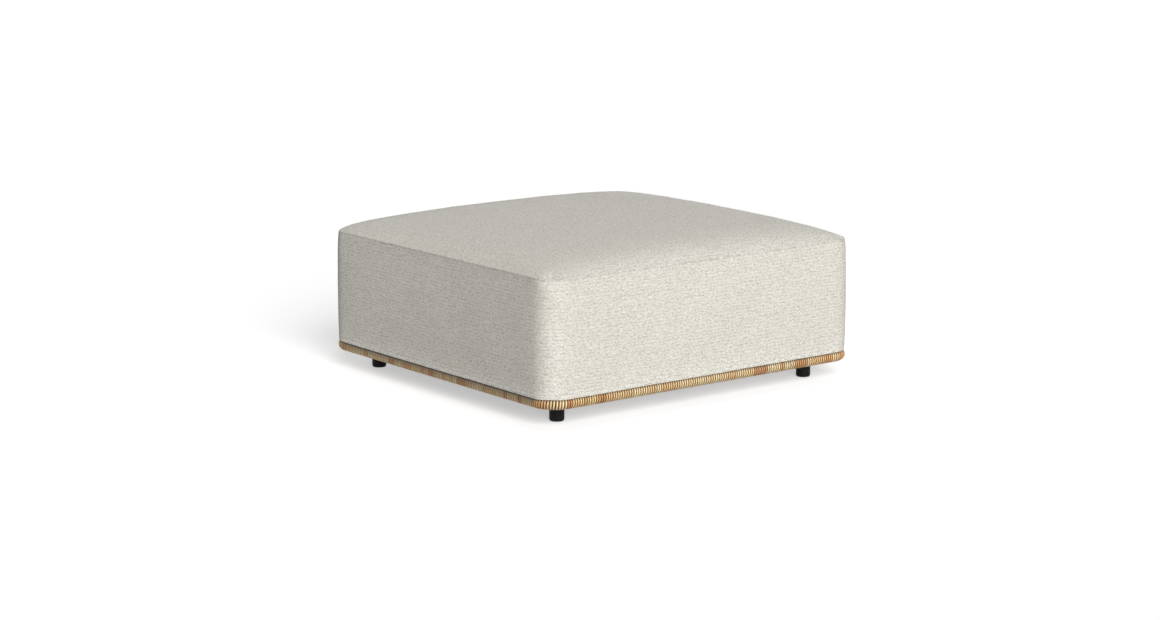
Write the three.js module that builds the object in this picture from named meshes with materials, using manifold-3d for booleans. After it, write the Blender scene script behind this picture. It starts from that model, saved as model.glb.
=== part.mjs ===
// Outdoor ottoman footstool: an upholstered block that rests on a low frame with a rattan-wrapped rail and
// four legs. Millimetres, +Z up, the front at -Y. The origin is on the floor under the footstool's middle.
import * as THREE from "three";
import { mergeVertices } from "three/addons/utils/BufferGeometryUtils.js";
import Module from "manifold-3d";

const wasm = await Module();
wasm.setup();

// Shared clearances
const FIT_GAP = 0.3; // between pieces that rest on, line or cut round each other
const OVERRUN = 5; // how far a cutter reaches past what it cuts

// Rail: a round tube bent into a ring, wound with half-round rattan strand
const RAIL_WIDTH = 930; // over the strand, along X
const RAIL_DEPTH = 900; // over the strand, along Y
const RAIL_UNDERSIDE = 43.9; // height of the strand's underside above the floor
const RAIL_CORNER_RADIUS = 47; // of the tube's centre line
const TUBE_RADIUS = 10;
const TUBE_WALL = 1.5;
const VENT_RADIUS = 3; // hole from the tube into each bar that meets it
const STRAND_THICKNESS = 3.2;
const STRAND_ROOT = 1.1; // solid strand left under the groove between two turns
const TURNS_PER_QUARTER = 36;
const RAIL_SIDES = 8;
const CORNER_STEPS = 5;

// Bars and slats under the cushion block
const BAR_WIDTH = 40;
const BAR_HEIGHT = 25;
const BAR_WALL = 2;
const SLAT_WIDTH = 40;
const SLAT_PITCH = 150;
const SLAT_COUNT = 5;
const SLAT_OVERHANG = 12; // past the outer side of the leg bars
const SLAT_CORNER_RADIUS = 6;

// Legs
const LEG_RADIUS = 17.5;
const LEG_INSET = 88.8; // from the rail's outer faces to the leg's axis
const LEG_EDGE_RADIUS = 1.5;
const STUD_RADIUS = 5;
const STUD_LENGTH = 32;
const STUD_DEPTH = 20; // how much of the stud is in the leg
const STUD_CHAMFER = 0.8;
const INSERT_WALL = 1.2;
const INSERT_FLANGE_RADIUS = 9;
const INSERT_FLANGE_THICKNESS = 1.2;
const INSERT_LENGTH = 13;
const GLIDE_RADIUS = 16;
const GLIDE_THICKNESS = 2.2;
const GLIDE_SPIGOT_RADIUS = 9.7;
const GLIDE_SPIGOT_LENGTH = 7;
const GLIDE_EDGE = 0.6;

// Cushion block: fabric cover, wadding, two foams and a board
const COVER_THICKNESS = 1.7;
const COVER_CORNER_RADIUS = 56; // in plan, at the rail's outer line
const LEAST_CORNER_RADIUS = 4; // of any outline inside the cover
const SEAM_HEIGHT = 339.5; // of the sewn seam round the top, above the floor
const SEAM_INSET = 4.4; // from the rail's outer line
const SEAM_GROOVE = 1; // how far the fabric is drawn in at the seam
const FULLEST_INSET = 1.3; // half way up the sides
const HEM_INSET = 2.5; // at the foot of the sides
const HEM_ROUND_RADIUS = 7; // where the sides turn under
const HEM_WIDTH = 45; // turned under, from the foot of the sides
const CROWN_HEIGHT = 53; // of the top's middle over the seam
const CROWN_EDGE_LENGTH = 35; // over which the top rounds up from the seam
const FIBRE_THICKNESS = 15;
const FOAM_CORE_HEIGHT = 190;
const BOARD_THICKNESS = 12;
const BOARD_EASE = 2; // between the board's edge and the turned hem
const BOARD_DRAIN_RADIUS = 15;
const TAPE_THICKNESS = 2;
const TAPE_WIDTH = 25;
const TAPE_INSET = 10; // from the board's edge

// Pegs under the board that drop into the leg bars
const PEG_FLANGE_RADIUS = 14;
const PEG_SPIGOT_RADIUS = 8;
const PEG_SPIGOT_LENGTH = 11;
const PEG_TAPER = 1.5;
const PEG_PLAY = 0.8; // round the spigot in the bar
const SCREW_RADIUS = 2.1;
const SCREW_HEAD_RADIUS = 4.4;
const SCREW_BITE = 9; // of the screw in the board

// Places and heights worked out from the sizes above
const BORE_RADIUS = TUBE_RADIUS + FIT_GAP;
const CREST_RADIUS = BORE_RADIUS + STRAND_THICKNESS;
const GROOVE_RADIUS = BORE_RADIUS + STRAND_ROOT;
const RAIL_Z = RAIL_UNDERSIDE + CREST_RADIUS;
const RAIL_HALF_X = RAIL_WIDTH / 2 - CREST_RADIUS;
const RAIL_HALF_Y = RAIL_DEPTH / 2 - CREST_RADIUS;
const CORNER_LENGTH = (RAIL_CORNER_RADIUS * Math.PI) / 2;
const QUARTER_LENGTH = RAIL_HALF_X + RAIL_HALF_Y - 2 * RAIL_CORNER_RADIUS + CORNER_LENGTH;
const DECK_Z = RAIL_Z + CREST_RADIUS;
const BAR_BOTTOM_Z = DECK_Z - BAR_HEIGHT;
const LEG_X = RAIL_WIDTH / 2 - LEG_INSET;
const LEG_Y = RAIL_DEPTH / 2 - LEG_INSET;
const SLAT_THICKNESS = COVER_THICKNESS + FIT_GAP + TAPE_THICKNESS;
const HEM_Z = DECK_Z + FIT_GAP;
const BOARD_Z = HEM_Z + SLAT_THICKNESS + FIT_GAP;
const BOARD_TOP_Z = BOARD_Z + BOARD_THICKNESS;
const CORE_Z = BOARD_TOP_Z + FIT_GAP;
const CORE_TOP_Z = CORE_Z + FOAM_CORE_HEIGHT;
const FIBRE_INSET = COVER_THICKNESS + FIT_GAP; // inside the cover's outer face
const FOAM_INSET = SEAM_INSET + FIBRE_INSET + FIBRE_THICKNESS + FIT_GAP; // inside the rail's outer line
const BOARD_INSET = HEM_INSET + COVER_THICKNESS + BOARD_EASE;
const PEG_Y = 1.5 * SLAT_PITCH; // half way between two slats
const DRAIN_YS = [-PEG_Y, -SLAT_PITCH / 2, SLAT_PITCH / 2, PEG_Y];
const BAR_XS = [-LEG_X, 0, LEG_X];
const SIDE_FOOT_Z = HEM_Z + HEM_ROUND_RADIUS;
const CROWN_EDGE_INSETS = [FOAM_INSET - FIBRE_THICKNESS / 2, FOAM_INSET];
const INSERT_RADIUS = STUD_RADIUS + FIT_GAP + INSERT_WALL;
const RECESS_FLOOR_Z = BAR_BOTTOM_Z - INSERT_FLANGE_THICKNESS - 2 * FIT_GAP;
const QUARTERS = [0, 1, 2, 3];
const SIGNS = [-1, 1];

// Counts and shares for the rounded outlines and the crown
const OUTLINE_CORNER_STEPS = 4;
const OUTLINE_SIDE_STEPS = 3;
const CROWN_RING_SHARES = [0.94, 0.87, 0.77, 0.6, 0.3]; // sizes of the inner rings of the top
const CROWN_FLAT_SHARE = 0.35; // of the crown that spreads over the whole top
const CROWN_POWER_SHARE = 2.2; // exponent of that spread
const SIDE_HEIGHT_SHARES = [0.85, 0.6, 0.35, 0.12]; // of the height between hem and seam
const HEM_ROUND_STEPS = 3;
const LEG_SIDES = 16;
const ROUND_SIDES = 12;
const SMALL_SIDES = 8;
const SPARE_TURNS = 2; // modelled past each end of a quarter before it is cut
const RAIL_SIDE_NUMBERS = Array.from({ length: RAIL_SIDES }, (_, side) => side);

const LEVEL = 1e-6; // difference in height under which two rings count as level

const crestDistances = [];

function fabric() {
  return new THREE.MeshStandardMaterial({ color: 0xdedbd0, roughness: 0.95, metalness: 0 });
}

function wadding() {
  return new THREE.MeshStandardMaterial({ color: 0xf4f4f2, roughness: 1, metalness: 0 });
}

function foam() {
  return new THREE.MeshStandardMaterial({ color: 0xe8e2c4, roughness: 1, metalness: 0 });
}

function board() {
  return new THREE.MeshStandardMaterial({ color: 0xb08a5c, roughness: 0.7, metalness: 0 });
}

function gripTape() {
  return new THREE.MeshStandardMaterial({ color: 0x2a2a28, roughness: 0.9, metalness: 0 });
}

function blackPlastic() {
  return new THREE.MeshStandardMaterial({ color: 0x191917, roughness: 0.55, metalness: 0 });
}

function steel() {
  return new THREE.MeshStandardMaterial({ color: 0xb9bbbd, roughness: 0.35, metalness: 1 });
}

function coatedAluminium() {
  return new THREE.MeshStandardMaterial({ color: 0x1d1d1b, roughness: 0.5, metalness: 0.4 });
}

function rattan() {
  return new THREE.MeshStandardMaterial({ color: 0xcda56e, roughness: 0.5, metalness: 0 });
}

// A closed surface from points and triangles, turned so that its faces point out.
function closedGeometry(points, triangles) {
  const whole = triangles.filter(([a, b, c]) => a !== b && b !== c && c !== a);
  let volume = 0;
  for (const [a, b, c] of whole) {
    volume += points[a].dot(new THREE.Vector3().crossVectors(points[b], points[c]));
  }
  const facing = volume < 0 ? whole.map(([a, b, c]) => [a, c, b]) : whole;
  const geometry = new THREE.BufferGeometry().setFromPoints(points);
  geometry.setIndex(facing.flat());
  geometry.computeVertexNormals();
  return geometry;
}

// The same surface with one vertex at each place.
function merged(geometry) {
  const plain = geometry.clone();
  plain.deleteAttribute("normal");
  plain.deleteAttribute("uv");
  const joined = mergeVertices(plain);
  const points = [];
  for (let k = 0; k < joined.attributes.position.count; k += 1) {
    points.push(new THREE.Vector3().fromBufferAttribute(joined.attributes.position, k));
  }
  const triangles = [];
  for (let k = 0; k < joined.index.count; k += 3) {
    triangles.push([joined.index.getX(k), joined.index.getX(k + 1), joined.index.getX(k + 2)]);
  }
  return closedGeometry(points, triangles);
}

// A three.js geometry as a solid that can be joined and cut.
function solidOf(geometry) {
  const surface = merged(geometry);
  const triVerts = new Uint32Array(surface.index.array);
  const vertProperties = new Float32Array(surface.attributes.position.array);
  return new wasm.Manifold(new wasm.Mesh({ numProp: 3, vertProperties, triVerts }));
}

function geometryOf(solid) {
  const mesh = solid.getMesh();
  const geometry = new THREE.BufferGeometry();
  geometry.setAttribute("position", new THREE.BufferAttribute(new Float32Array(mesh.vertProperties), 3));
  geometry.setIndex(new THREE.BufferAttribute(new Uint32Array(mesh.triVerts), 1));
  geometry.computeVertexNormals();
  return geometry;
}

// A geometry with others cut out of it.
function cutGeometry(geometry, cutters) {
  let solid = solidOf(geometry);
  for (const cutter of cutters) solid = solid.subtract(solidOf(cutter));
  return geometryOf(solid);
}

function meanHeight(ring) {
  return ring.reduce((sum, point) => sum + point.z, 0) / ring.length;
}

// A surface through rings of equal point counts. A ring of one point closes an end to a fan, and a closed
// loft joins its last ring to its first. Each face's diagonal leans the same way whichever way the rings are
// listed, so that nested surfaces stay parallel.
function loft(rings, closed) {
  const starts = rings.map((ring, k) => rings.slice(0, k).reduce((sum, other) => sum + other.length, 0));
  const triangles = [];
  const bands = closed ? rings.length : rings.length - 1;
  for (let band = 0; band < bands; band += 1) {
    const next = (band + 1) % rings.length;
    const count = Math.max(rings[band].length, rings[next].length);
    const goesDown = meanHeight(rings[next]) < meanHeight(rings[band]) - LEVEL;
    for (let k = 0; k < count; k += 1) {
      const a = starts[band] + (k % rings[band].length);
      const b = starts[band] + ((k + 1) % rings[band].length);
      const c = starts[next] + (k % rings[next].length);
      const d = starts[next] + ((k + 1) % rings[next].length);
      if (goesDown) triangles.push([a, b, d], [a, d, c]);
      else triangles.push([a, b, c], [b, d, c]);
    }
  }
  return closedGeometry(rings.flat(), triangles);
}

function block(lowX, highX, lowY, highY, lowZ, highZ) {
  const geometry = new THREE.BoxGeometry(highX - lowX, highY - lowY, highZ - lowZ);
  return geometry.translate((lowX + highX) / 2, (lowY + highY) / 2, (lowZ + highZ) / 2);
}

// A cylinder whose flats, not its corners, lie at the radius, so that it clears a round piece of that radius.
function clearingCylinder(radius, length, axis) {
  const corner = radius / Math.cos(Math.PI / ROUND_SIDES);
  const geometry = new THREE.CylinderGeometry(corner, corner, length, ROUND_SIDES);
  if (axis === "x") geometry.rotateZ(Math.PI / 2);
  if (axis === "z") geometry.rotateX(Math.PI / 2);
  return geometry;
}

// A piece turned about the vertical. The profile holds [radius, height] pairs.
function turned(profile, sides) {
  const points = profile.map(([radius, height]) => new THREE.Vector2(radius, height));
  return merged(new THREE.LatheGeometry(points, sides).rotateX(Math.PI / 2));
}

// Place and outward direction on the rail's centre line, at a length along it from the middle of the front.
function railPlace(length) {
  const quarter = Math.floor(length / QUARTER_LENGTH);
  const along = length - quarter * QUARTER_LENGTH;
  const turnedSide = quarter % 2 !== 0;
  const reach = turnedSide ? RAIL_HALF_Y : RAIL_HALF_X;
  const offset = turnedSide ? RAIL_HALF_X : RAIL_HALF_Y;
  const straight = reach - RAIL_CORNER_RADIUS;
  const turn = THREE.MathUtils.clamp((along - straight) / RAIL_CORNER_RADIUS, 0, Math.PI / 2);
  const x = Math.min(along, straight) + RAIL_CORNER_RADIUS * Math.sin(turn);
  const rise = RAIL_CORNER_RADIUS * (1 - Math.cos(turn)) + Math.max(0, along - straight - CORNER_LENGTH);
  const upward = new THREE.Vector3(0, 0, 1);
  const angle = (quarter * Math.PI) / 2;
  return {
    place: new THREE.Vector3(x, rise - offset, RAIL_Z).applyAxisAngle(upward, angle),
    outward: new THREE.Vector3(Math.sin(turn), -Math.cos(turn), 0).applyAxisAngle(upward, angle),
  };
}

// A point on the rail's round section. Side 0 is at the outside and the sides go round over the top.
function railPoint(length, radius, side) {
  const { place, outward } = railPlace(length);
  const angle = (2 * Math.PI * side) / RAIL_SIDES;
  const point = place.addScaledVector(outward, radius * Math.cos(angle));
  point.z += radius * Math.sin(angle);
  return point;
}

// The whole rail as a closed ring of one radius.
function railRing(radius) {
  const rings = [];
  for (const quarter of QUARTERS) {
    const straight = (quarter % 2 === 0 ? RAIL_HALF_X : RAIL_HALF_Y) - RAIL_CORNER_RADIUS;
    for (let step = 0; step <= CORNER_STEPS; step += 1) {
      const length = quarter * QUARTER_LENGTH + straight + (CORNER_LENGTH * step) / CORNER_STEPS;
      rings.push(RAIL_SIDE_NUMBERS.map((side) => railPoint(length, radius, side)));
    }
  }
  return loft(rings, true);
}

function railTube() {
  const vents = BAR_XS.flatMap((x) => SIGNS.map((sign) => ({ x, y: sign * RAIL_HALF_Y, axis: "y" })));
  vents.push(...SIGNS.map((sign) => ({ x: sign * RAIL_HALF_X, y: 0, axis: "x" })));
  const reach = TUBE_RADIUS + OVERRUN;
  const cutters = vents.map(({ x, y, axis }) => {
    const hole = new THREE.CylinderGeometry(VENT_RADIUS, VENT_RADIUS, reach, SMALL_SIDES);
    if (axis === "x") hole.rotateZ(Math.PI / 2);
    const inward = axis === "x" ? [-Math.sign(x) * (reach / 2), 0] : [0, -Math.sign(y) * (reach / 2)];
    return hole.translate(x + inward[0], y + inward[1], RAIL_Z);
  });
  return cutGeometry(railRing(TUBE_RADIUS), [railRing(TUBE_RADIUS - TUBE_WALL), ...cutters]);
}

// The outside of one quarter of the winding: a single helix whose turns lie side by side, with a row of
// points on each crest and in each groove. It reaches past both ends of the quarter, where it is cut square.
function strandHelix(quarter) {
  const pitch = QUARTER_LENGTH / TURNS_PER_QUARTER;
  const start = quarter * QUARTER_LENGTH - SPARE_TURNS * pitch;
  const lastRow = 2 * (TURNS_PER_QUARTER + 2 * SPARE_TURNS);
  const points = [];
  for (let row = 0; row <= lastRow; row += 1) {
    const radius = row % 2 === 0 ? CREST_RADIUS : GROOVE_RADIUS;
    for (const side of RAIL_SIDE_NUMBERS) {
      points.push(railPoint(start + pitch * (row / 2 + side / RAIL_SIDES), radius, side));
    }
  }
  // Going once round the section leads to the next turn, two rows on.
  const at = (row, side) => (row + 2 * Math.floor(side / RAIL_SIDES)) * RAIL_SIDES + (side % RAIL_SIDES);
  const triangles = [];
  for (let row = 0; row < lastRow; row += 1) {
    for (const side of RAIL_SIDE_NUMBERS) {
      if (at(row + 1, side + 1) < points.length) {
        triangles.push([at(row, side), at(row, side + 1), at(row + 1, side)]);
        triangles.push([at(row, side + 1), at(row + 1, side + 1), at(row + 1, side)]);
      }
    }
  }
  const firstRim = [...RAIL_SIDE_NUMBERS.map((side) => at(0, side)), at(2, 0), at(1, 0)].reverse();
  const lastSide = RAIL_SIDES - 1;
  const lastRim = [...RAIL_SIDE_NUMBERS.map((side) => at(lastRow, side)), at(lastRow - 1, lastSide)];
  lastRim.push(at(lastRow - 2, lastSide));
  for (const [rim, row] of [[firstRim, 1], [lastRim, lastRow]]) {
    const middle = points.push(railPlace(start + (pitch * row) / 2).place) - 1;
    rim.forEach((point, k) => triangles.push([middle, point, rim[(k + 1) % rim.length]]));
  }
  return { geometry: closedGeometry(points, triangles), points };
}

// Least distance between the crests of neighbouring turns, which is on the inside of the rail's corners.
function leastCrestDistance(points) {
  let least = Infinity;
  for (let k = 0; k + 2 * RAIL_SIDES < points.length - 2; k += 1) {
    const onCrest = Math.floor(k / RAIL_SIDES) % 2 === 0;
    if (onCrest) least = Math.min(least, points[k].distanceTo(points[k + 2 * RAIL_SIDES]));
  }
  return least;
}

// One quarter of the winding, cut square at its ends and notched round each bar that meets the rail.
function railWrap(quarter) {
  const { geometry, points } = strandHelix(quarter);
  crestDistances.push(leastCrestDistance(points));
  const signX = quarter < 2 ? 1 : -1;
  const signY = quarter === 1 || quarter === 2 ? 1 : -1;
  const far = RAIL_WIDTH + RAIL_DEPTH;
  const corner = block(FIT_GAP / 2, far, FIT_GAP / 2, far, 0, far);
  corner.scale(signX, signY, 1);
  const solid = solidOf(geometry).intersect(solidOf(corner));
  const barNotches = BAR_XS.map((x) => barBlock(x, FIT_GAP));
  const strutNotches = SIGNS.map((sign) => strutBlock(sign, FIT_GAP));
  return cutGeometry(geometryOf(solid), [railRing(BORE_RADIUS), ...barNotches, ...strutNotches]);
}

// A front-to-back bar's outside, grown by a clearance.
function barBlock(x, grow) {
  const halfWidth = BAR_WIDTH / 2 + grow;
  const halfLength = RAIL_HALF_Y + grow;
  return block(x - halfWidth, x + halfWidth, -halfLength, halfLength, BAR_BOTTOM_Z - grow, DECK_Z + grow);
}

// The outside of the strut between a leg bar and a side rail, grown by a clearance.
function strutBlock(sign, grow) {
  const inner = LEG_X + BAR_WIDTH / 2 + FIT_GAP - grow;
  const outer = RAIL_HALF_X + grow;
  const low = sign > 0 ? inner : -outer;
  const high = sign > 0 ? outer : -inner;
  const halfWidth = BAR_WIDTH / 2 + grow;
  return block(low, high, -halfWidth, halfWidth, BAR_BOTTOM_Z - grow, DECK_Z + grow);
}

function bar(x, hasLegs) {
  const halfBore = BAR_WIDTH / 2 - BAR_WALL;
  const endY = RAIL_HALF_Y + OVERRUN;
  const boreLow = BAR_BOTTOM_Z + BAR_WALL;
  const cutters = [block(x - halfBore, x + halfBore, -endY, endY, boreLow, DECK_Z - BAR_WALL)];
  for (const sign of SIGNS) {
    const saddle = clearingCylinder(TUBE_RADIUS + FIT_GAP, BAR_WIDTH + 2 * OVERRUN, "x");
    cutters.push(saddle.translate(x, sign * RAIL_HALF_Y, RAIL_Z));
    if (hasLegs) {
      const insertHole = clearingCylinder(INSERT_RADIUS + FIT_GAP, 2 * BAR_WALL, "z");
      const pegHole = clearingCylinder(PEG_SPIGOT_RADIUS + PEG_PLAY, 2 * BAR_WALL, "z");
      cutters.push(insertHole.translate(x, sign * LEG_Y, BAR_BOTTOM_Z + BAR_WALL / 2));
      cutters.push(pegHole.translate(x, sign * PEG_Y, DECK_Z - BAR_WALL / 2));
    }
  }
  return cutGeometry(barBlock(x, 0), cutters);
}

function strut(sign) {
  const halfBore = BAR_WIDTH / 2 - BAR_WALL;
  const near = LEG_X - OVERRUN;
  const far = RAIL_HALF_X + OVERRUN;
  const bore = block(near, far, -halfBore, halfBore, BAR_BOTTOM_Z + BAR_WALL, DECK_Z - BAR_WALL);
  const saddle = clearingCylinder(TUBE_RADIUS + FIT_GAP, BAR_WIDTH + 2 * OVERRUN, "y");
  saddle.translate(RAIL_HALF_X, 0, RAIL_Z);
  return cutGeometry(strutBlock(sign, 0), [bore.scale(sign, 1, 1), saddle.scale(sign, 1, 1)]);
}

// A flat plate from an outline of points, standing on the height given.
function plate(points, holes, z, thickness) {
  const shape = new THREE.Shape(points.map(({ x, y }) => new THREE.Vector2(x, y)));
  for (const [x, y, radius] of holes) shape.holes.push(new THREE.Path().absarc(x, y, radius, 0, 2 * Math.PI));
  const settings = { depth: thickness, bevelEnabled: false, curveSegments: SMALL_SIDES / 2 };
  return merged(new THREE.ExtrudeGeometry(shape, settings).translate(0, 0, z));
}

function slat(y) {
  const halfLength = LEG_X + BAR_WIDTH / 2 + SLAT_OVERHANG;
  const points = roundedOutline(halfLength, SLAT_WIDTH / 2, SLAT_CORNER_RADIUS, 1);
  return plate(points.map((point) => point.setY(point.y + y)), [], HEM_Z, SLAT_THICKNESS);
}

// A rounded rectangle about the middle, at height 0, with the same count of points whatever its size.
function roundedOutline(halfX, halfY, radius, sideSteps) {
  const centres = [[1, -1], [1, 1], [-1, 1], [-1, -1]].map(([signX, signY]) => [
    signX * (halfX - radius),
    signY * (halfY - radius),
  ]);
  const points = [];
  centres.forEach(([x, y], corner) => {
    for (let step = 0; step <= OUTLINE_CORNER_STEPS; step += 1) {
      const angle = ((corner - 1 + step / OUTLINE_CORNER_STEPS) * Math.PI) / 2;
      points.push(new THREE.Vector3(x + radius * Math.cos(angle), y + radius * Math.sin(angle), 0));
    }
    const from = points.at(-1);
    const [nextX, nextY] = centres[(corner + 1) % centres.length];
    const startAngle = (corner * Math.PI) / 2;
    const toX = nextX + radius * Math.cos(startAngle);
    const to = new THREE.Vector3(toX, nextY + radius * Math.sin(startAngle), 0);
    for (let step = 1; step < sideSteps; step += 1) points.push(from.clone().lerp(to, step / sideSteps));
  });
  return points;
}

// The block's outline, a distance inside the rail's outer line.
function blockOutline(inset, z) {
  const radius = Math.max(COVER_CORNER_RADIUS - inset, LEAST_CORNER_RADIUS);
  const points = roundedOutline(RAIL_WIDTH / 2 - inset, RAIL_DEPTH / 2 - inset, radius, OUTLINE_SIDE_STEPS);
  return points.map((point) => point.setZ(z));
}

// How far the sides lie inside the rail's outer line, at a share of the height from hem to seam.
function sideInset(share) {
  const foot = HEM_INSET * (1 - share) * (1 - 2 * share);
  const middle = FULLEST_INSET * 4 * share * (1 - share);
  return foot + middle + SEAM_INSET * share * (2 * share - 1);
}

function sideHeight(share) {
  return THREE.MathUtils.lerp(SIDE_FOOT_Z, SEAM_HEIGHT, share);
}

// Rise of the crown at a distance from one pair of edges, from 0 at the edge to 1 in the middle.
function crownRise(distance, half) {
  const spread = 1 - (1 - distance / half) ** CROWN_POWER_SHARE;
  const rounding = 1 - Math.exp(-distance / CROWN_EDGE_LENGTH);
  return CROWN_FLAT_SHARE * spread + (1 - CROWN_FLAT_SHARE) * rounding;
}

// Height of the cover's outer face over a place. In a rounded corner both distances shrink to the true edge.
function crownHeight(x, y) {
  const halfX = RAIL_WIDTH / 2 - SEAM_INSET;
  const halfY = RAIL_DEPTH / 2 - SEAM_INSET;
  const radius = COVER_CORNER_RADIUS - SEAM_INSET;
  const fromX = Math.max(halfX - Math.abs(x), 0);
  const fromY = Math.max(halfY - Math.abs(y), 0);
  const intoX = radius - fromX;
  const intoY = radius - fromY;
  let share = 1;
  if (intoX > 0 && intoY > 0) {
    const fromEdge = Math.max(radius - Math.hypot(intoX, intoY), 0);
    share = fromEdge / Math.max(Math.min(fromX, fromY), fromEdge, Number.EPSILON);
  }
  const rise = crownRise(fromX * share, halfX) * crownRise(fromY * share, halfY);
  return SEAM_HEIGHT + COVER_THICKNESS + CROWN_HEIGHT * rise;
}

// Rings of a crowned face from its edge to its middle, a depth under the cover's outer face.
function crownRings(insets, depth) {
  const inner = blockOutline(FOAM_INSET, 0);
  const rings = insets.map((inset) => blockOutline(inset, 0));
  rings.push(...CROWN_RING_SHARES.map((share) => inner.map((point) => point.clone().multiplyScalar(share))));
  rings.push([new THREE.Vector3()]);
  for (const point of rings.flat()) point.z = crownHeight(point.x, point.y) - depth;
  return rings;
}

function coverTopPanel() {
  const outer = crownRings([SEAM_INSET, ...CROWN_EDGE_INSETS], 0);
  const inner = crownRings([SEAM_INSET + COVER_THICKNESS, ...CROWN_EDGE_INSETS], COVER_THICKNESS);
  return loft([...outer.reverse(), blockOutline(SEAM_INSET, SEAM_HEIGHT), ...inner], false);
}

// The turned foot of the sides, from upright to flat, a depth inside the cover's outer face.
function hemRound(depth) {
  const radius = HEM_ROUND_RADIUS - depth;
  const rings = [];
  for (let step = 0; step <= HEM_ROUND_STEPS; step += 1) {
    const angle = (Math.PI / 2) * (step / HEM_ROUND_STEPS);
    const inset = HEM_INSET + HEM_ROUND_RADIUS - radius * Math.cos(angle);
    rings.push(blockOutline(inset, SIDE_FOOT_Z - radius * Math.sin(angle)));
  }
  return rings;
}

function coverSideBand() {
  const top = SEAM_HEIGHT - FIT_GAP;
  const side = (share, depth) => blockOutline(sideInset(share) + depth, sideHeight(share));
  const sides = (depth) => SIDE_HEIGHT_SHARES.map((share) => side(share, depth));
  const hemInset = HEM_INSET + HEM_WIDTH;
  const outer = [
    blockOutline(SEAM_INSET + SEAM_GROOVE, top),
    blockOutline(SEAM_INSET, top - 2 * SEAM_GROOVE),
    ...sides(0),
    ...hemRound(0),
    blockOutline(hemInset, HEM_Z),
  ];
  const inner = [
    blockOutline(SEAM_INSET + COVER_THICKNESS, top),
    ...sides(COVER_THICKNESS),
    ...hemRound(COVER_THICKNESS),
    blockOutline(hemInset, HEM_Z + COVER_THICKNESS),
  ];
  return loft([...outer, ...inner.reverse()], true);
}

function fibreWrap() {
  const innerInset = FOAM_INSET - FIT_GAP;
  const footShare = (CORE_Z - SIDE_FOOT_Z) / (SEAM_HEIGHT - SIDE_FOOT_Z);
  const sides = [...SIDE_HEIGHT_SHARES, footShare];
  const rings = [
    ...crownRings([SEAM_INSET + FIBRE_INSET, ...CROWN_EDGE_INSETS], FIBRE_INSET).reverse(),
    ...sides.map((share) => blockOutline(sideInset(share) + FIBRE_INSET, sideHeight(share))),
    blockOutline(innerInset, CORE_Z),
    ...crownRings([innerInset], FIBRE_INSET + FIBRE_THICKNESS),
  ];
  return loft(rings, false);
}

function foamTopLayer() {
  const bottom = CORE_TOP_Z + FIT_GAP;
  const depth = FIBRE_INSET + FIBRE_THICKNESS + FIT_GAP;
  const underside = [[new THREE.Vector3(0, 0, bottom)], blockOutline(FOAM_INSET, bottom)];
  return loft([...underside, ...crownRings([FOAM_INSET], depth)], false);
}

function foamCore() {
  return plate(blockOutline(FOAM_INSET, 0), [], CORE_Z, FOAM_CORE_HEIGHT);
}

function baseBoard() {
  const drains = SIGNS.flatMap((signX) =>
    DRAIN_YS.map((y) => [(signX * LEG_X) / 2, y, BOARD_DRAIN_RADIUS]),
  );
  const whole = plate(blockOutline(BOARD_INSET, 0), drains, BOARD_Z, BOARD_THICKNESS);
  const depth = SCREW_BITE + FIT_GAP;
  const pilots = SIGNS.flatMap((signX) =>
    SIGNS.map((signY) => {
      const hole = clearingCylinder(SCREW_RADIUS + FIT_GAP, depth + OVERRUN, "z");
      return hole.translate(signX * LEG_X, signY * PEG_Y, BOARD_Z + (depth - OVERRUN) / 2);
    }),
  );
  return cutGeometry(whole, pilots);
}

// Grip tape along one straight side: front, right, back and left in turn.
function hemTape(side) {
  const alongX = side % 2 === 0;
  const sign = side === 0 || side === 3 ? -1 : 1;
  const outer = (alongX ? RAIL_DEPTH : RAIL_WIDTH) / 2 - BOARD_INSET - TAPE_INSET;
  const half = (alongX ? RAIL_WIDTH : RAIL_DEPTH) / 2 - COVER_CORNER_RADIUS;
  const across = sign > 0 ? [outer - TAPE_WIDTH, outer] : [-outer, TAPE_WIDTH - outer];
  const low = HEM_Z + COVER_THICKNESS + FIT_GAP;
  const high = BOARD_Z - FIT_GAP;
  return alongX ? block(-half, half, ...across, low, high) : block(...across, -half, half, low, high);
}

function locatingPeg() {
  const bore = SCREW_RADIUS + FIT_GAP;
  const sink = SCREW_HEAD_RADIUS + FIT_GAP;
  const foot = HEM_Z - PEG_SPIGOT_LENGTH;
  const top = BOARD_Z - FIT_GAP;
  return turned(
    [
      [bore, top],
      [PEG_FLANGE_RADIUS, top],
      [PEG_FLANGE_RADIUS, HEM_Z],
      [PEG_SPIGOT_RADIUS, HEM_Z],
      [PEG_SPIGOT_RADIUS, foot + PEG_TAPER],
      [PEG_SPIGOT_RADIUS - PEG_TAPER, foot],
      [sink, foot],
      [bore, foot + sink - bore],
      [bore, top],
    ],
    ROUND_SIDES,
  );
}

function pegScrew() {
  const foot = HEM_Z - PEG_SPIGOT_LENGTH + FIT_GAP;
  const tip = BOARD_Z + SCREW_BITE;
  return turned(
    [
      [0, foot],
      [SCREW_HEAD_RADIUS, foot],
      [SCREW_RADIUS, foot + SCREW_HEAD_RADIUS - SCREW_RADIUS],
      [SCREW_RADIUS, tip - SCREW_RADIUS],
      [0, tip],
    ],
    ROUND_SIDES,
  );
}

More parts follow.
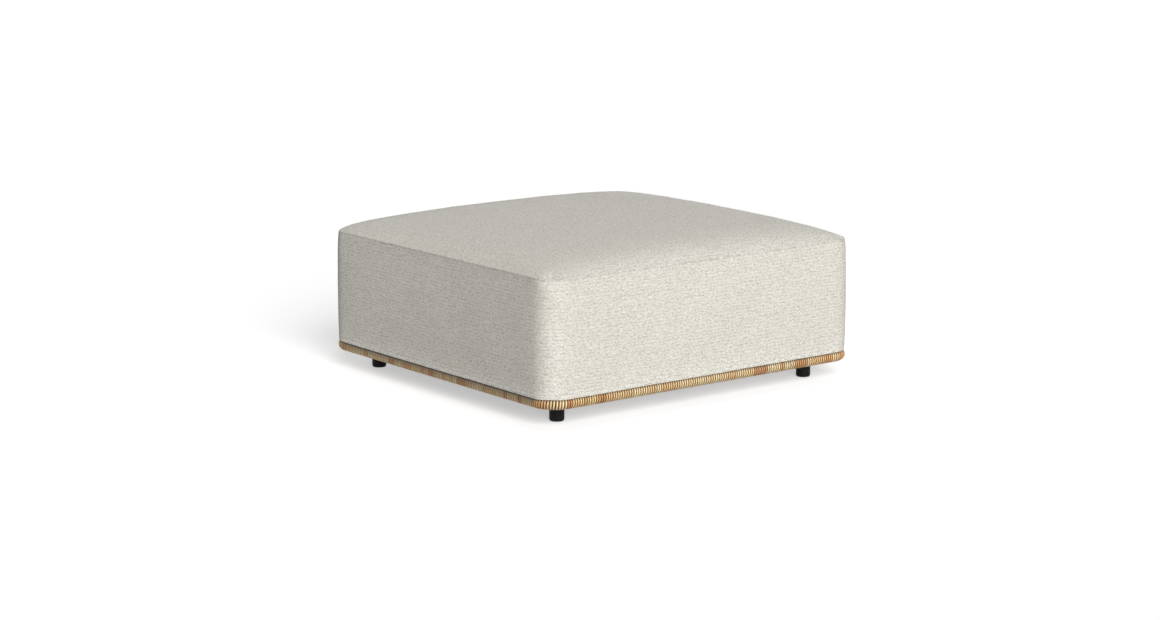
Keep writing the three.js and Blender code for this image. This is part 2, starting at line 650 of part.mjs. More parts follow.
function leg() {
  const bottom = GLIDE_THICKNESS + FIT_GAP;
  const top = BAR_BOTTOM_Z - FIT_GAP;
  const glideBore = GLIDE_SPIGOT_RADIUS + FIT_GAP;
  const glideBoreTop = bottom + GLIDE_SPIGOT_LENGTH;
  const recess = INSERT_FLANGE_RADIUS + FIT_GAP;
  const studBore = STUD_RADIUS + FIT_GAP;
  const studFloor = RECESS_FLOOR_Z - STUD_DEPTH - FIT_GAP;
  return turned(
    [
      [0, glideBoreTop],
      [glideBore, glideBoreTop],
      [glideBore, bottom],
      [LEG_RADIUS - LEG_EDGE_RADIUS, bottom],
      [LEG_RADIUS - LEG_EDGE_RADIUS * (1 - Math.SQRT1_2), bottom + LEG_EDGE_RADIUS * (1 - Math.SQRT1_2)],
      [LEG_RADIUS, bottom + LEG_EDGE_RADIUS],
      [LEG_RADIUS, top],
      [recess, top],
      [recess, RECESS_FLOOR_Z],
      [studBore, RECESS_FLOOR_Z],
      [studBore, studFloor],
      [0, studFloor],
    ],
    LEG_SIDES,
  );
}

function legInsert() {
  const bore = STUD_RADIUS + FIT_GAP;
  const top = BAR_BOTTOM_Z - FIT_GAP;
  const bottom = top - INSERT_FLANGE_THICKNESS;
  return turned(
    [
      [bore, bottom],
      [INSERT_FLANGE_RADIUS, bottom],
      [INSERT_FLANGE_RADIUS, top],
      [INSERT_RADIUS, top],
      [INSERT_RADIUS, bottom + INSERT_LENGTH],
      [bore, bottom + INSERT_LENGTH],
      [bore, bottom],
    ],
    ROUND_SIDES,
  );
}

function legStud() {
  const bottom = RECESS_FLOOR_Z - STUD_DEPTH;
  const top = bottom + STUD_LENGTH;
  return turned(
    [
      [0, bottom],
      [STUD_RADIUS - STUD_CHAMFER, bottom],
      [STUD_RADIUS, bottom + STUD_CHAMFER],
      [STUD_RADIUS, top - STUD_CHAMFER],
      [STUD_RADIUS - STUD_CHAMFER, top],
      [0, top],
    ],
    ROUND_SIDES,
  );
}

function legGlide() {
  const spigotTop = GLIDE_THICKNESS + GLIDE_SPIGOT_LENGTH;
  return turned(
    [
      [0, 0],
      [GLIDE_RADIUS - GLIDE_EDGE, 0],
      [GLIDE_RADIUS, GLIDE_EDGE],
      [GLIDE_RADIUS, GLIDE_THICKNESS],
      [GLIDE_SPIGOT_RADIUS, GLIDE_THICKNESS],
      [GLIDE_SPIGOT_RADIUS, spigotTop],
      [0, spigotTop],
    ],
    LEG_SIDES,
  );
}

function named(name, geometry, material, x = 0, y = 0) {
  const mesh = new THREE.Mesh(geometry, material);
  mesh.name = name;
  mesh.position.set(x, y, 0);
  return mesh;
}

const baseFrame = new THREE.Group();
baseFrame.add(named("rail_tube", railTube(), coatedAluminium()));
for (const quarter of QUARTERS) baseFrame.add(named(`rail_wrap_${quarter + 1}`, railWrap(quarter), rattan()));
baseFrame.add(named("leg_bar_left", bar(-LEG_X, true), coatedAluminium()));
baseFrame.add(named("leg_bar_right", bar(LEG_X, true), coatedAluminium()));
baseFrame.add(named("mid_bar", bar(0, false), coatedAluminium()));
baseFrame.add(named("side_strut_left", strut(-1), coatedAluminium()));
baseFrame.add(named("side_strut_right", strut(1), coatedAluminium()));
for (let k = 0; k < SLAT_COUNT; k += 1) {
  const y = (k - (SLAT_COUNT - 1) / 2) * SLAT_PITCH;
  baseFrame.add(named(`seat_slat_${k + 1}`, slat(y), coatedAluminium()));
}

const cushionBlock = new THREE.Group();
cushionBlock.add(named("cover_top_panel", coverTopPanel(), fabric()));
cushionBlock.add(named("cover_side_band", coverSideBand(), fabric()));
cushionBlock.add(named("fibre_wrap", fibreWrap(), wadding()));
cushionBlock.add(named("foam_top_layer", foamTopLayer(), foam()));
cushionBlock.add(named("foam_core", foamCore(), foam()));
cushionBlock.add(named("base_board", baseBoard(), board()));
["front", "right", "back", "left"].forEach((name, side) => {
  cushionBlock.add(named(`hem_tape_${name}`, hemTape(side), gripTape()));
});

// One of each at every corner, counted from the front left round to the back left.
[[-1, -1], [1, -1], [1, 1], [-1, 1]].forEach(([signX, signY], k) => {
  const x = signX * LEG_X;
  const y = signY * LEG_Y;
  baseFrame.add(named(`leg_${k + 1}`, leg(), coatedAluminium(), x, y));
  baseFrame.add(named(`leg_insert_${k + 1}`, legInsert(), steel(), x, y));
  baseFrame.add(named(`leg_stud_${k + 1}`, legStud(), steel(), x, y));
  baseFrame.add(named(`leg_glide_${k + 1}`, legGlide(), blackPlastic(), x, y));
  cushionBlock.add(named(`locating_peg_${k + 1}`, locatingPeg(), blackPlastic(), x, signY * PEG_Y));
  cushionBlock.add(named(`peg_screw_${k + 1}`, pegScrew(), steel(), x, signY * PEG_Y));
});

const leastDistance = Math.min(...crestDistances);
console.log(`least distance between crests of neighbouring turns: ${leastDistance.toFixed(2)} mm`);

const ottoman = new THREE.Group();
ottoman.add(baseFrame, cushionBlock);

export default ottoman;
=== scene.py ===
"""Outdoor ottoman footstool: an upholstered block on a low frame with a rattan-wrapped rail.

The scene is in metres, +Z up. The code for shapes works in millimetres until a mesh is made.
"""

import math

import bpy
import numpy as np
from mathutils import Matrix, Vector
from mathutils.kdtree import KDTree

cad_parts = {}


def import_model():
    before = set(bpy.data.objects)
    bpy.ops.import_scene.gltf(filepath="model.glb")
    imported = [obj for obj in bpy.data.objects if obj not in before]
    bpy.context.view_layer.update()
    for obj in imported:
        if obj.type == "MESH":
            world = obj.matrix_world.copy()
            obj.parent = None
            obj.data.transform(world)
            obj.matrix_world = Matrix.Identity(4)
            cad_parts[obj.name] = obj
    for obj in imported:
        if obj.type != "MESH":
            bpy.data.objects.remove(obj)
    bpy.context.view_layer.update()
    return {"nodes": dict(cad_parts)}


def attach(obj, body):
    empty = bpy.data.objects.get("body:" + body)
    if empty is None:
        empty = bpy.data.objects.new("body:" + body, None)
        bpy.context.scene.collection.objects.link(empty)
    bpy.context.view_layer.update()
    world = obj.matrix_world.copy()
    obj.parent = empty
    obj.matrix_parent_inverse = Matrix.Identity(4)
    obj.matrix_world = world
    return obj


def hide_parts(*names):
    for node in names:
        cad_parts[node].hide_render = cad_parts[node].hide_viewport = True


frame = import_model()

MM = 0.001
QUARTER = math.pi / 2
RANDOM = np.random.default_rng(20)

# The block's outer face, as in the solids. An inset is a distance inside the rail's outer line
WIDTH, DEPTH = 930.0, 900.0
CORNER_RADIUS = 56.0
SEAM_HEIGHT = 339.5
SEAM_INSET = 4.4
FULLEST_INSET = 1.3
CROWN_HEIGHT = 53.0
CROWN_EDGE = 35.0
COVER = 1.7
HEM_INSET = 2.5
HEM_ROUND = 7.0
HEM_Z = 71.2
HEM_WIDTH = 45.0
FOOT_Z = HEM_Z + HEM_ROUND

# The rail's centre line, its tube's radius, the half-round strand, and the bars that meet it
RAIL_Z = 57.4
RAIL_HALF = (451.5, 436.5)
RAIL_CORNER = 47.0
BORE = 10.3
STRAND = 3.2
STRAND_PITCH = 6.74
CORNER_PITCH = 0.84
BAR_HALF = 20.0
# How much of a turn on either side of the rail's outermost line is left where a bar meets it
OUTER_SHARE = 0.2415

LEG_X, LEG_Y = 376.2, 361.2
LEG_RADIUS = 17.5

# How far the cloth's foot hangs over the rail's shoulder and stands out, on the front, right,
# back and left, and the radius of its fold
HEM_HANG = (2.5, 2.8, 2.6, 3.7)
HEM_OUT = (1.2, 1.4, 1.2, 3.0)
HEM_FOLD = 1.7
# How softly the upright corners turn
CORNER_EASE = 8.0
# How far the sewn corners are drawn in and down at the seam, and drawn in at the foot
CORNER_IN, CORNER_DOWN, CORNER_FOOT_IN = 3.4, 2.0, 3.0
# How far the cloth swells over the top and the sides, how far inside the solids' faces it lies
# where it doesn't, and the simulated move at which most of the fullness is reached
TOP_FULLNESS, SIDE_FULLNESS = 0.5, 2.6
TOP_SINK, SIDE_SINK = 1.9, 0.6
FULL_MOVE = 9.0
# The cloth lies still along the seam and moves freely this far from it
SEAM_EASE = 22
# How long the cloth is simulated
CLOTH_FRAMES = 20
# The wadding under the cover: its clearance, thickness and foot
WADDING_INSET, WADDING_THICKNESS, WADDING_FOOT = 3.0, 14.0, 92.0

# The top panel's rows as (inset, height): the seam allowance and the rounded lip. Then the
# insets of the rings on the crown, and of the grid inside them
LIP = [(13.0, 338.2), (8.0, 338.6), (5.9, 338.9), (5.1, 339.2), (4.5, 339.4)]
LIP += [(4.15, 340.1), (4.1, 341.2)]
CROWN_RINGS = [5.4, 6.6, 8.2, 10.2, 12.6, 15.6, 19.2, 23.4]
GRID_INSET = 28.0
# The side band's seam allowance, the drops of its rows below the seam, and its hem's insets
SIDE_LIP = [(13.0, 337.8), (8.0, 338.2), (5.9, 338.6), (5.0, 339.1)]
SIDE_DROPS = [0.25, 1.0, 2.2, 3.6, 5.2, 7.4, 10.4, 14.4, 19.4, 25.4]
SIDE_DROPS += np.linspace(32, SEAM_HEIGHT - FOOT_Z, 34).tolist()
HEM_ROWS = [5.0, 6.0, 7.2, 8.8, 11, 14, 18, 25, 33, 41]

# Mesh columns along the front, along a side and round a corner
FINE = (190, 183, 20)
COARSE = (62, 60, 6)
WADDING_STEPS = (96, 92, 10)


# ---------------------------------------------------------------- meshes


def new_object(name, points, faces, material=None):
    mesh = bpy.data.meshes.new(name)
    mesh.from_pydata([tuple(p) for p in points], [], [tuple(f) for f in faces])
    mesh.validate()
    mesh.polygons.foreach_set("use_smooth", [True] * len(mesh.polygons))
    mesh.update()
    obj = bpy.data.objects.new(name, mesh)
    bpy.context.scene.collection.objects.link(obj)
    if material is not None:
        mesh.materials.append(material)
    return obj


def point_attribute(obj, name, values):
    layer = obj.data.attributes.new(name, "FLOAT_VECTOR", "POINT")
    layer.data.foreach_set("vector", np.asarray(values, np.float32).ravel())


def turned(name, profile, material, x, y):
    """A piece turned about the vertical through x, y, from (radius, height) pairs."""
    sides = 64
    points, faces = [], []
    for radius, height in profile:
        for k in range(sides):
            angle = 2 * math.pi * k / sides
            points.append((x + radius * math.cos(angle), y + radius * math.sin(angle), height))
    for row in range(len(profile) - 1):
        for k in range(sides):
            a, b = row * sides + k, row * sides + (k + 1) % sides
            faces.append((a, b, b + sides, a + sides))
    faces.append(tuple(reversed(range(sides))))
    faces.append(tuple(range((len(profile) - 1) * sides, len(profile) * sides)))
    obj = new_object(name, np.array(points) * MM, faces, material)
    obj.data.set_sharp_from_angle(angle=math.radians(35))
    return obj


def strips(first, second):
    """Faces between two closed rings of vertex numbers."""
    following = np.roll(np.arange(len(first)), -1)
    return np.column_stack([first, first[following], second[following], second])


def grid_faces(number):
    """Faces of a grid of vertex numbers."""
    corners = (number[:-1, :-1], number[1:, :-1], number[1:, 1:], number[:-1, 1:])
    return np.column_stack([corner.ravel() for corner in corners])


def vertex_normals(points, faces):
    corners = points[faces]
    across = np.cross(corners[:, 2] - corners[:, 0], corners[:, 3] - corners[:, 1])
    normals = np.zeros_like(points)
    for k in range(4):
        np.add.at(normals, faces[:, k], across)
    return normals / np.maximum(np.linalg.norm(normals, axis=1, keepdims=True), 1e-12)


# ---------------------------------------------------------------- the block's shape


def outline(inset, steps):
    """Points of the block's rounded outline at an inset, from the left end of the straight front.

    steps are the counts along a straight front or back, a straight side and a corner.
    """
    along_x, along_y, round_corner = steps
    radius = max(CORNER_RADIUS - inset, 4.0)
    half_x, half_y = WIDTH / 2 - inset - radius, DEPTH / 2 - inset - radius
    corners = [(half_x, -half_y), (half_x, half_y), (-half_x, half_y), (-half_x, -half_y)]
    points = []
    for side, end in enumerate(corners):
        start = corners[side - 1]
        out = (math.sin(QUARTER * side), -math.cos(QUARTER * side))
        count = along_x if side % 2 == 0 else along_y
        for k in range(count):
            share = k / count
            x = start[0] + (end[0] - start[0]) * share + out[0] * radius
            y = start[1] + (end[1] - start[1]) * share + out[1] * radius
            points.append((x, y))
        for k in range(round_corner):
            angle = QUARTER * (side - 1 + k / round_corner)
            x, y = end[0] + radius * math.cos(angle), end[1] + radius * math.sin(angle)
            points.append((x, y))
    return np.array(points)


def ring(inset, height, steps):
    flat = outline(inset, steps)
    return np.column_stack([flat, np.full(len(flat), float(height))])


def perimeter(steps):
    """The length along the outline at each column, and all of it last."""
    flat = outline(0, steps)
    lengths = np.hypot(*(np.roll(flat, -1, axis=0) - flat).T)
    return np.concatenate([[0], np.cumsum(lengths)])


LENGTHS = perimeter(FINE)
COLUMN, AROUND = LENGTHS[:-1], LENGTHS[-1]
COLUMNS = len(COLUMN)


def ring_faces(rows):
    """Faces between rings of the fine mesh that follow each other."""
    columns = np.arange(COLUMNS)
    pairs = [(k * COLUMNS + columns, (k + 1) * COLUMNS + columns) for k in range(rows - 1)]
    return np.vstack([strips(first, second) for first, second in pairs])


def crown_rise(distance, half):
    """Share of the crown's height at a distance from the edge, half being the way to the middle."""
    spread = 1 - (1 - distance / half) ** 2.2
    return 0.35 * spread + 0.65 * (1 - np.exp(-distance / CROWN_EDGE))


def crown_height(x, y):
    """Height of the cover's outer face over a place, as in the solids."""
    half_x, half_y = WIDTH / 2 - SEAM_INSET, DEPTH / 2 - SEAM_INSET
    radius = CORNER_RADIUS - SEAM_INSET
    from_x = np.maximum(half_x - np.abs(x), 0)
    from_y = np.maximum(half_y - np.abs(y), 0)
    into_x, into_y = radius - from_x, radius - from_y
    from_edge = np.maximum(radius - np.hypot(into_x, into_y), 0)
    in_corner = (into_x > 0) & (into_y > 0)
    least = np.maximum(np.minimum(from_x, from_y), np.maximum(from_edge, 1e-9))
    share = np.where(in_corner, from_edge / least, 1)
    rise = crown_rise(from_x * share, half_x) * crown_rise(from_y * share, half_y)
    return SEAM_HEIGHT + COVER + CROWN_HEIGHT * rise


def side_inset(share):
    """Inset of the side's face, from 0 at its foot to 1 at the seam, as in the solids."""
    foot = HEM_INSET * (1 - share) * (1 - 2 * share)
    middle = FULLEST_INSET * 4 * share * (1 - share)
    return foot + middle + SEAM_INSET * share * (2 * share - 1)


def patch(inset, steps):
    """A grid that fills the outline: its points, faces, and edge numbers in outline order."""
    half = steps[2] // 2
    edge = np.roll(outline(inset, steps), half, axis=0)
    nx, ny = steps[0] + steps[2], steps[1] + steps[2]
    front = edge[: nx + 1]
    right = edge[nx : nx + ny + 1]
    back = edge[nx + ny : 2 * nx + ny + 1][::-1]
    left = np.vstack([edge[2 * nx + ny :], edge[:1]])[::-1]
    s = (front[:, 0] - front[0, 0]) / (front[-1, 0] - front[0, 0])
    t = (left[:, 1] - left[0, 1]) / (left[-1, 1] - left[0, 1])
    s, t = s[:, None, None], t[None, :, None]
    ruled = (1 - t) * front[:, None] + t * back[:, None] + (1 - s) * left[None] + s * right[None]
    left_end, right_end = (1 - t) * front[0] + t * back[0], (1 - t) * front[-1] + t * back[-1]
    grid = (ruled - ((1 - s) * left_end + s * right_end)).reshape(-1, 2)
    number = np.arange((nx + 1) * (ny + 1)).reshape(nx + 1, ny + 1)
    around = [number[:-1, 0], number[-1, :-1], number[:0:-1, -1], number[0, :0:-1]]
    return grid, grid_faces(number), np.roll(np.concatenate(around), -half)


def add_rings(points, faces, edge, rows, steps):
    """Adds a ring for each (inset, height), joined to the one before. Returns their numbers."""
    count = sum(map(len, points))
    numbers = [edge]
    for inset, z in rows:
        points.append(ring(inset, z, steps))
        numbers.append(count + np.arange(len(edge)))
        faces.append(strips(numbers[-1], numbers[-2]))
        count += len(edge)
    return numbers


# ---------------------------------------------------------------- the cloth's fullness


def block_for_cloth():
    """The block as one closed coarse mesh, and the points that the seam, hem and board hold."""
    flat, face, edge = patch(SEAM_INSET, COARSE)
    points, faces = [np.column_stack([flat, crown_height(*flat.T)])], [face]
    rows = []
    for share in np.linspace(1, 0, 21)[1:]:
        rows.append((side_inset(share), FOOT_Z + (SEAM_HEIGHT - FOOT_Z) * share))
    rows.append((HEM_INSET + HEM_ROUND * 0.3, HEM_Z + HEM_ROUND * 0.3))
    rows.append((HEM_INSET + HEM_ROUND, HEM_Z))
    numbers = add_rings(points, faces, edge, rows, COARSE)
    held = np.concatenate([edge, *numbers[-2:]])
    base = tuple(numbers[-1][::-1].tolist())
    return np.vstack(points), np.vstack(faces).tolist() + [base], sorted(held.tolist())


def simulated_fullness():
    """Where the block's points lie, and how far the pressed cloth moves them."""
    points, faces, held = block_for_cloth()
    obj = new_object("cloth_trial", points * MM, faces)
    pins = obj.vertex_groups.new(name="held")
    pins.add(held, 1.0, "REPLACE")
    cloth = obj.modifiers.new("Cloth", "CLOTH")
    cloth.settings.quality = 5
    cloth.settings.mass = 0.3
    cloth.settings.tension_stiffness = 20
    cloth.settings.compression_stiffness = 20
    cloth.settings.bending_stiffness = 2
    cloth.settings.use_pressure = True
    cloth.settings.uniform_pressure_force = 4
    cloth.settings.effector_weights.gravity = 0
    cloth.settings.vertex_group_mass = pins.name
    cloth.point_cache.frame_start = 1
    cloth.point_cache.frame_end = CLOTH_FRAMES
    scene = bpy.context.scene
    for number in range(1, CLOTH_FRAMES + 1):
        scene.frame_set(number)
    seen = obj.evaluated_get(bpy.context.evaluated_depsgraph_get()).to_mesh()
    after = np.empty(len(points) * 3)
    seen.vertices.foreach_get("co", after)
    scene.frame_set(1)
    mesh = obj.data
    bpy.data.objects.remove(obj)
    bpy.data.meshes.remove(mesh)
    return points, after.reshape(-1, 3) / MM - points


def carried(cloth, points):
    """The simulated moves, spread smoothly to other points from the nearest ones."""
    places, moves = cloth
    reach, most = 16.0, 10
    tree = KDTree(len(places))
    for number, place in enumerate(places):
        tree.insert(place, number)
    tree.balance()
    found = np.empty((len(points), most), int)
    weight = np.empty((len(points), most))
    for k, point in enumerate(points):
        near = tree.find_n(point, most)
        found[k] = [n for _, n, _ in near]
        weight[k] = [d for _, _, d in near]
    weight = np.exp(-((weight / reach) ** 2)) + 1e-9
    return (moves[found] * weight[:, :, None]).sum(1) / weight.sum(1, keepdims=True)


def noise_1d(count, seed):
    """Smooth random values from -1 to 1 along the outline, with about count swings."""
    generator = np.random.default_rng(seed)
    knots = generator.uniform(-1, 1, count)
    at = COLUMN / AROUND * count
    low = np.floor(at).astype(int)
    f = at - low
    f = f * f * (3 - 2 * f)
    return knots[low % count] * (1 - f) + knots[(low + 1) % count] * f


def waves(points, seed, scale, count=7):
    """Gentle random swells over the surface, between about -1 and 1."""
    generator = np.random.default_rng(seed)
    total = np.zeros(len(points))
    for _ in range(count):
        direction = generator.normal(size=3)
        direction /= np.linalg.norm(direction)
        length = scale * generator.uniform(0.7, 1.6)
        total += np.sin(points @ direction * 2 * math.pi / length + generator.uniform(0, 6.28))
    return total / math.sqrt(count)


def puckers():
    """Small pulls along the seam: one every stitch or so, and wider ones over a few stitches."""
    return 0.65 * noise_1d(int(AROUND / 9), 3) + 0.35 * noise_1d(int(AROUND / 23), 4)


def dressed(points, faces, from_seam, pull, cloth, fullness, sink):
    """A panel's points with the cloth's fullness, gentle swells and the pulls along the seam."""
    normals = vertex_normals(points, faces)
    full = (carried(cloth, points) * normals).sum(1)
    full = fullness * np.tanh(full / FULL_MOVE) - sink
    ease = 1 - np.exp(-np.maximum(from_seam, 0) / SEAM_EASE)
    swell = 0.35 * waves(points, 11, 130) + 0.18 * waves(points, 12, 55)
    seam = 0.6 * pull * np.exp(-np.maximum(from_seam, 0) / 7)
    out = np.maximum(full * ease + swell * ease, -sink - 0.2) + seam
    return points + normals * out[:, None]


def softened(values, spread):
    """Values along the closed line of columns, smoothed over a distance."""
    even = np.arange(0, AROUND, 1.5)
    flat = np.interp(even, LENGTHS, np.append(values, values[0]))
    reach = np.minimum(even, AROUND - even)
    kernel = np.exp(-((reach / spread) ** 2) / 2)
    kernel /= kernel.sum()
    smooth = np.fft.irfft(np.fft.rfft(flat) * np.fft.rfft(kernel), len(flat))
    return np.interp(COLUMN, np.append(even, AROUND), np.append(smooth, smooth[0]))


def eased_corners(points, from_seam, heights):
    """The band's upright corners turned more softly, except along the seam and at the hem."""
    eased = points.copy()
    for row, z in enumerate(heights):
        part = slice(row * COLUMNS, (row + 1) * COLUMNS)
        below_seam = 1 - math.exp(-((from_seam[row] / SEAM_EASE) ** 2))
        weight = below_seam * min(1.0, max(0.0, (z - HEM_Z - 1) / 14))
        if weight <= 0:
            continue
        for axis in (0, 1):
            line = points[part, axis]
            eased[part, axis] = line + (softened(line, CORNER_EASE) - line) * weight
    return eased


def into_corner(points):
    """How far round a corner each point lies, its distance from the corner's axis, and the way out.

    The first is 0 on the straight sides and 1 half-way round a corner.
    """
    centre = np.array([WIDTH / 2 - CORNER_RADIUS, DEPTH / 2 - CORNER_RADIUS])
    away = np.abs(points[:, :2]) - centre
    inside = (away > 0).all(1)
    away = np.where(inside[:, None], away, 1.0)
    distance = np.linalg.norm(away, axis=1)
    share = np.where(inside, (2 * away[:, 0] * away[:, 1] / distance**2) ** 2, 0)
    return share, distance, away / distance[:, None] * np.sign(points[:, :2])


def sewn_corners(points):
    """The seam's four corners drawn in and down, as sewing does."""
    share, distance, direction = into_corner(points)
    off = np.hypot(points[:, 2] - SEAM_HEIGHT, distance - (CORNER_RADIUS - SEAM_INSET))
    weight = share * np.exp(-((off / 16) ** 2))
    out = points.copy()
    out[:, :2] -= direction * (CORNER_IN * weight)[:, None]
    out[:, 2] -= CORNER_DOWN * weight
    return out


def hung(points, insets, lower):
    """The band's foot let down over the rail's shoulder and clear of the strand.

    It hangs by its own amount on each side. lower marks the points that the strand holds up.
    """
    along_x, along_y, round_corner = FINE
    hang, outward = np.empty(COLUMNS), np.empty(COLUMNS)
    start = 0
    for side in range(4):
        size = along_x if side % 2 == 0 else along_y
        hang[start : start + size + round_corner] = HEM_HANG[side]
        outward[start : start + size + round_corner] = HEM_OUT[side]
        start += size + round_corner
    uneven = noise_1d(34, 8)
    rows = len(points) // COLUMNS
    drop = np.tile(softened(hang, 40.0) + 0.5 * uneven, rows)
    round_share = softened(into_corner(outline(HEM_INSET, FINE))[0], 8.0)
    push = (softened(outward, 40.0) + 0.3 * uneven) * (1 - round_share)
    push = np.tile(push - CORNER_FOOT_IN * round_share, rows)
    fade = np.exp(-np.maximum(points[:, 2] - HEM_Z, 0) / 11)
    near_edge = np.clip((16 - insets) / 3, 0, 1)
    out = points.copy()
    direction = outline(0, FINE) - outline(10, FINE)
    direction /= np.linalg.norm(direction, axis=1, keepdims=True)
    pushed = push * fade * np.clip((9 - insets) / 5, 0, 1)
    out[:, :2] += np.tile(direction, (rows, 1)) * pushed[:, None]
    insets = insets - pushed
    clear = BORE + STRAND + 0.3
    rail_inset = WIDTH / 2 - RAIL_HALF[0]
    over = np.sqrt(np.maximum(clear**2 - (rail_inset - np.minimum(insets, rail_inset)) ** 2, 0))
    shoulder = np.where(insets > rail_inset - clear, RAIL_Z + over, 0)
    lowered = points[:, 2] - drop * fade * near_edge
    held_up = np.maximum(lowered, np.minimum(shoulder, points[:, 2]))
    out[:, 2] = np.where(lower, held_up, lowered)
    return out


def cloth_layer(obj, name, across, down, total=None):
    """A map for the fabric's look, in metres, from a pair of values for each vertex.

    Where the first value runs round the block, total is its length.
    """
    layer = obj.data.uv_layers.new(name=name)
    numbers = np.empty(len(obj.data.loops), int)
    obj.data.loops.foreach_get("vertex_index", numbers)
    u = across[numbers].reshape(-1, 4)
    if total is not None:
        wraps = (u.max(1) - u.min(1)) > total / 2
        u[wraps] = np.where(u[wraps] < total / 2, u[wraps] + total, u[wraps])
    pairs = np.column_stack([u.ravel(), down[numbers]]) * MM
    layer.data.foreach_set("uv", pairs.astype(np.float32).ravel())


# ---------------------------------------------------------------- the cover and the wadding


def top_panel(material, pull, cloth):
    """The crowned top: seam allowance, rounded lip, rings over the edge, and a grid."""
    rings = [ring(inset, z, FINE) for inset, z in LIP]
    for inset in CROWN_RINGS:
        flat = ring(inset, 0, FINE)
        height = crown_height(flat[:, 0], flat[:, 1])
        height = softened(height, 1 + 14 * (1 - inset / GRID_INSET))
        flat[:, 2] = height + 0.5 * math.exp(-(((inset - SEAM_INSET) / 3.0) ** 2))
        rings.append(flat)
    grid, face, edge = patch(GRID_INSET, FINE)
    grid = np.column_stack([grid, crown_height(*grid.T)])
    points = np.vstack(rings + [grid])
    start = len(rings) * COLUMNS
    last_ring = start - COLUMNS + np.arange(COLUMNS)
    faces = np.vstack([ring_faces(len(rings)), strips(last_ring, start + edge), face + start])
    half_x, half_y = WIDTH / 2 - SEAM_INSET, DEPTH / 2 - SEAM_INSET
    distance = np.minimum(half_x - np.abs(points[:, 0]), half_y - np.abs(points[:, 1]))
    distance[: len(LIP) * COLUMNS] = 0

    # Grid points near the edge take their pull and their place round it from the nearest column
    nearest = KDTree(COLUMNS)
    for k, place in enumerate(rings[-1]):
        nearest.insert((place[0], place[1], 0), k)
    nearest.balance()
    close = np.flatnonzero(distance[start:] < 60)
    near = [nearest.find((*grid[k, :2], 0))[1] for k in close]
    grid_pull, grid_column = np.zeros(len(grid)), np.zeros(len(grid))
    grid_pull[edge] = pull
    grid_pull[close] = pull[near]
    grid_column[close] = COLUMN[near]
    grid_column[edge] = COLUMN
    pulls = np.concatenate([np.tile(pull, len(rings)), grid_pull])
    around = np.concatenate([np.tile(COLUMN, len(rings)), grid_column])

    moved = dressed(points, faces, distance, pulls, cloth, TOP_FULLNESS, TOP_SINK)
    moved = sewn_corners(moved)
    top = new_object("fabric_top_panel", moved * MM, faces, material)
    cloth_layer(top, "cloth", moved[:, 0], moved[:, 1])
    cloth_layer(top, "seam", around, distance, AROUND)
    return top


def side_rows():
    """(inset, height) of each row of the side band, and how many rows are above its foot."""
    rows = list(SIDE_LIP)
    for drop in SIDE_DROPS:
        share = 1 - drop / (SEAM_HEIGHT - FOOT_Z)
        groove = 0.1 * math.exp(-((drop / 1.2) ** 2))
        groove = groove - 0.5 * math.exp(-(((drop - 8.0) / 6.0) ** 2))
        rows.append((side_inset(share) + groove, SEAM_HEIGHT - drop))
    upright = len(rows)
    fold_z = HEM_Z + HEM_FOLD
    rows += [(HEM_INSET, FOOT_Z + (fold_z - FOOT_Z) * share) for share in (0.3, 0.6, 0.85, 1.0)]
    for step in range(1, 7):
        angle = QUARTER * step / 6
        inset = HEM_INSET + HEM_FOLD * (1 - math.cos(angle))
        rows.append((inset, fold_z - HEM_FOLD * math.sin(angle)))
    end, upper = HEM_INSET + HEM_WIDTH, HEM_Z + COVER
    rows += [(inset, HEM_Z) for inset in HEM_ROWS]
    rows += [(end - 0.6, HEM_Z), (end, HEM_Z + 0.6), (end, HEM_Z + 1.2), (end - 0.6, upper)]
    rows += [(33, upper), (16, upper)]
    return rows, upright


def side_band(material, pull, cloth):
    """The upright sides: seam allowance, sides, the fold over the rail and the hem inside it."""
    rows, upright = side_rows()
    points = np.vstack([ring(inset, z, FINE) for inset, z in rows])
    faces = ring_faces(len(rows))[:, ::-1]
    inset_of, z_of = np.array(rows).T
    along = np.concatenate([[0], np.cumsum(np.hypot(np.diff(inset_of), np.diff(z_of)))])
    from_seam = np.maximum(SEAM_HEIGHT - z_of, 0)
    from_seam[: len(SIDE_LIP)] = 0
    distance = np.repeat(from_seam, COLUMNS)
    points = eased_corners(points, from_seam, z_of)
    pulls = -np.tile(pull, len(rows))
    moved = dressed(points, faces, distance, pulls, cloth, SIDE_FULLNESS, SIDE_SINK)
    keep = np.repeat(np.clip((z_of - HEM_Z) / 60.0, 0, 1) ** 0.6, COLUMNS)[:, None]
    moved = points + (moved - points) * keep
    lower = np.repeat(np.arange(len(rows)) >= upright - 5, COLUMNS)
    moved = sewn_corners(hung(moved, np.repeat(inset_of, COLUMNS), lower))
    band = new_object("fabric_side_band", moved * MM, faces, material)
    around = np.tile(COLUMN, len(rows))
    cloth_layer(band, "cloth", around, np.repeat(-along, COLUMNS), AROUND)
    cloth_layer(band, "seam", around, distance, AROUND)
    return band


def cover_panels(material):
    cloth = simulated_fullness()
    pull = puckers()
    top = top_panel(material, pull, cloth)
    band = side_band(material, pull, cloth)
    for obj in (top, band):
        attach(obj, "cushion_block")
    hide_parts("cover_top_panel")
    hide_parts("cover_side_band")


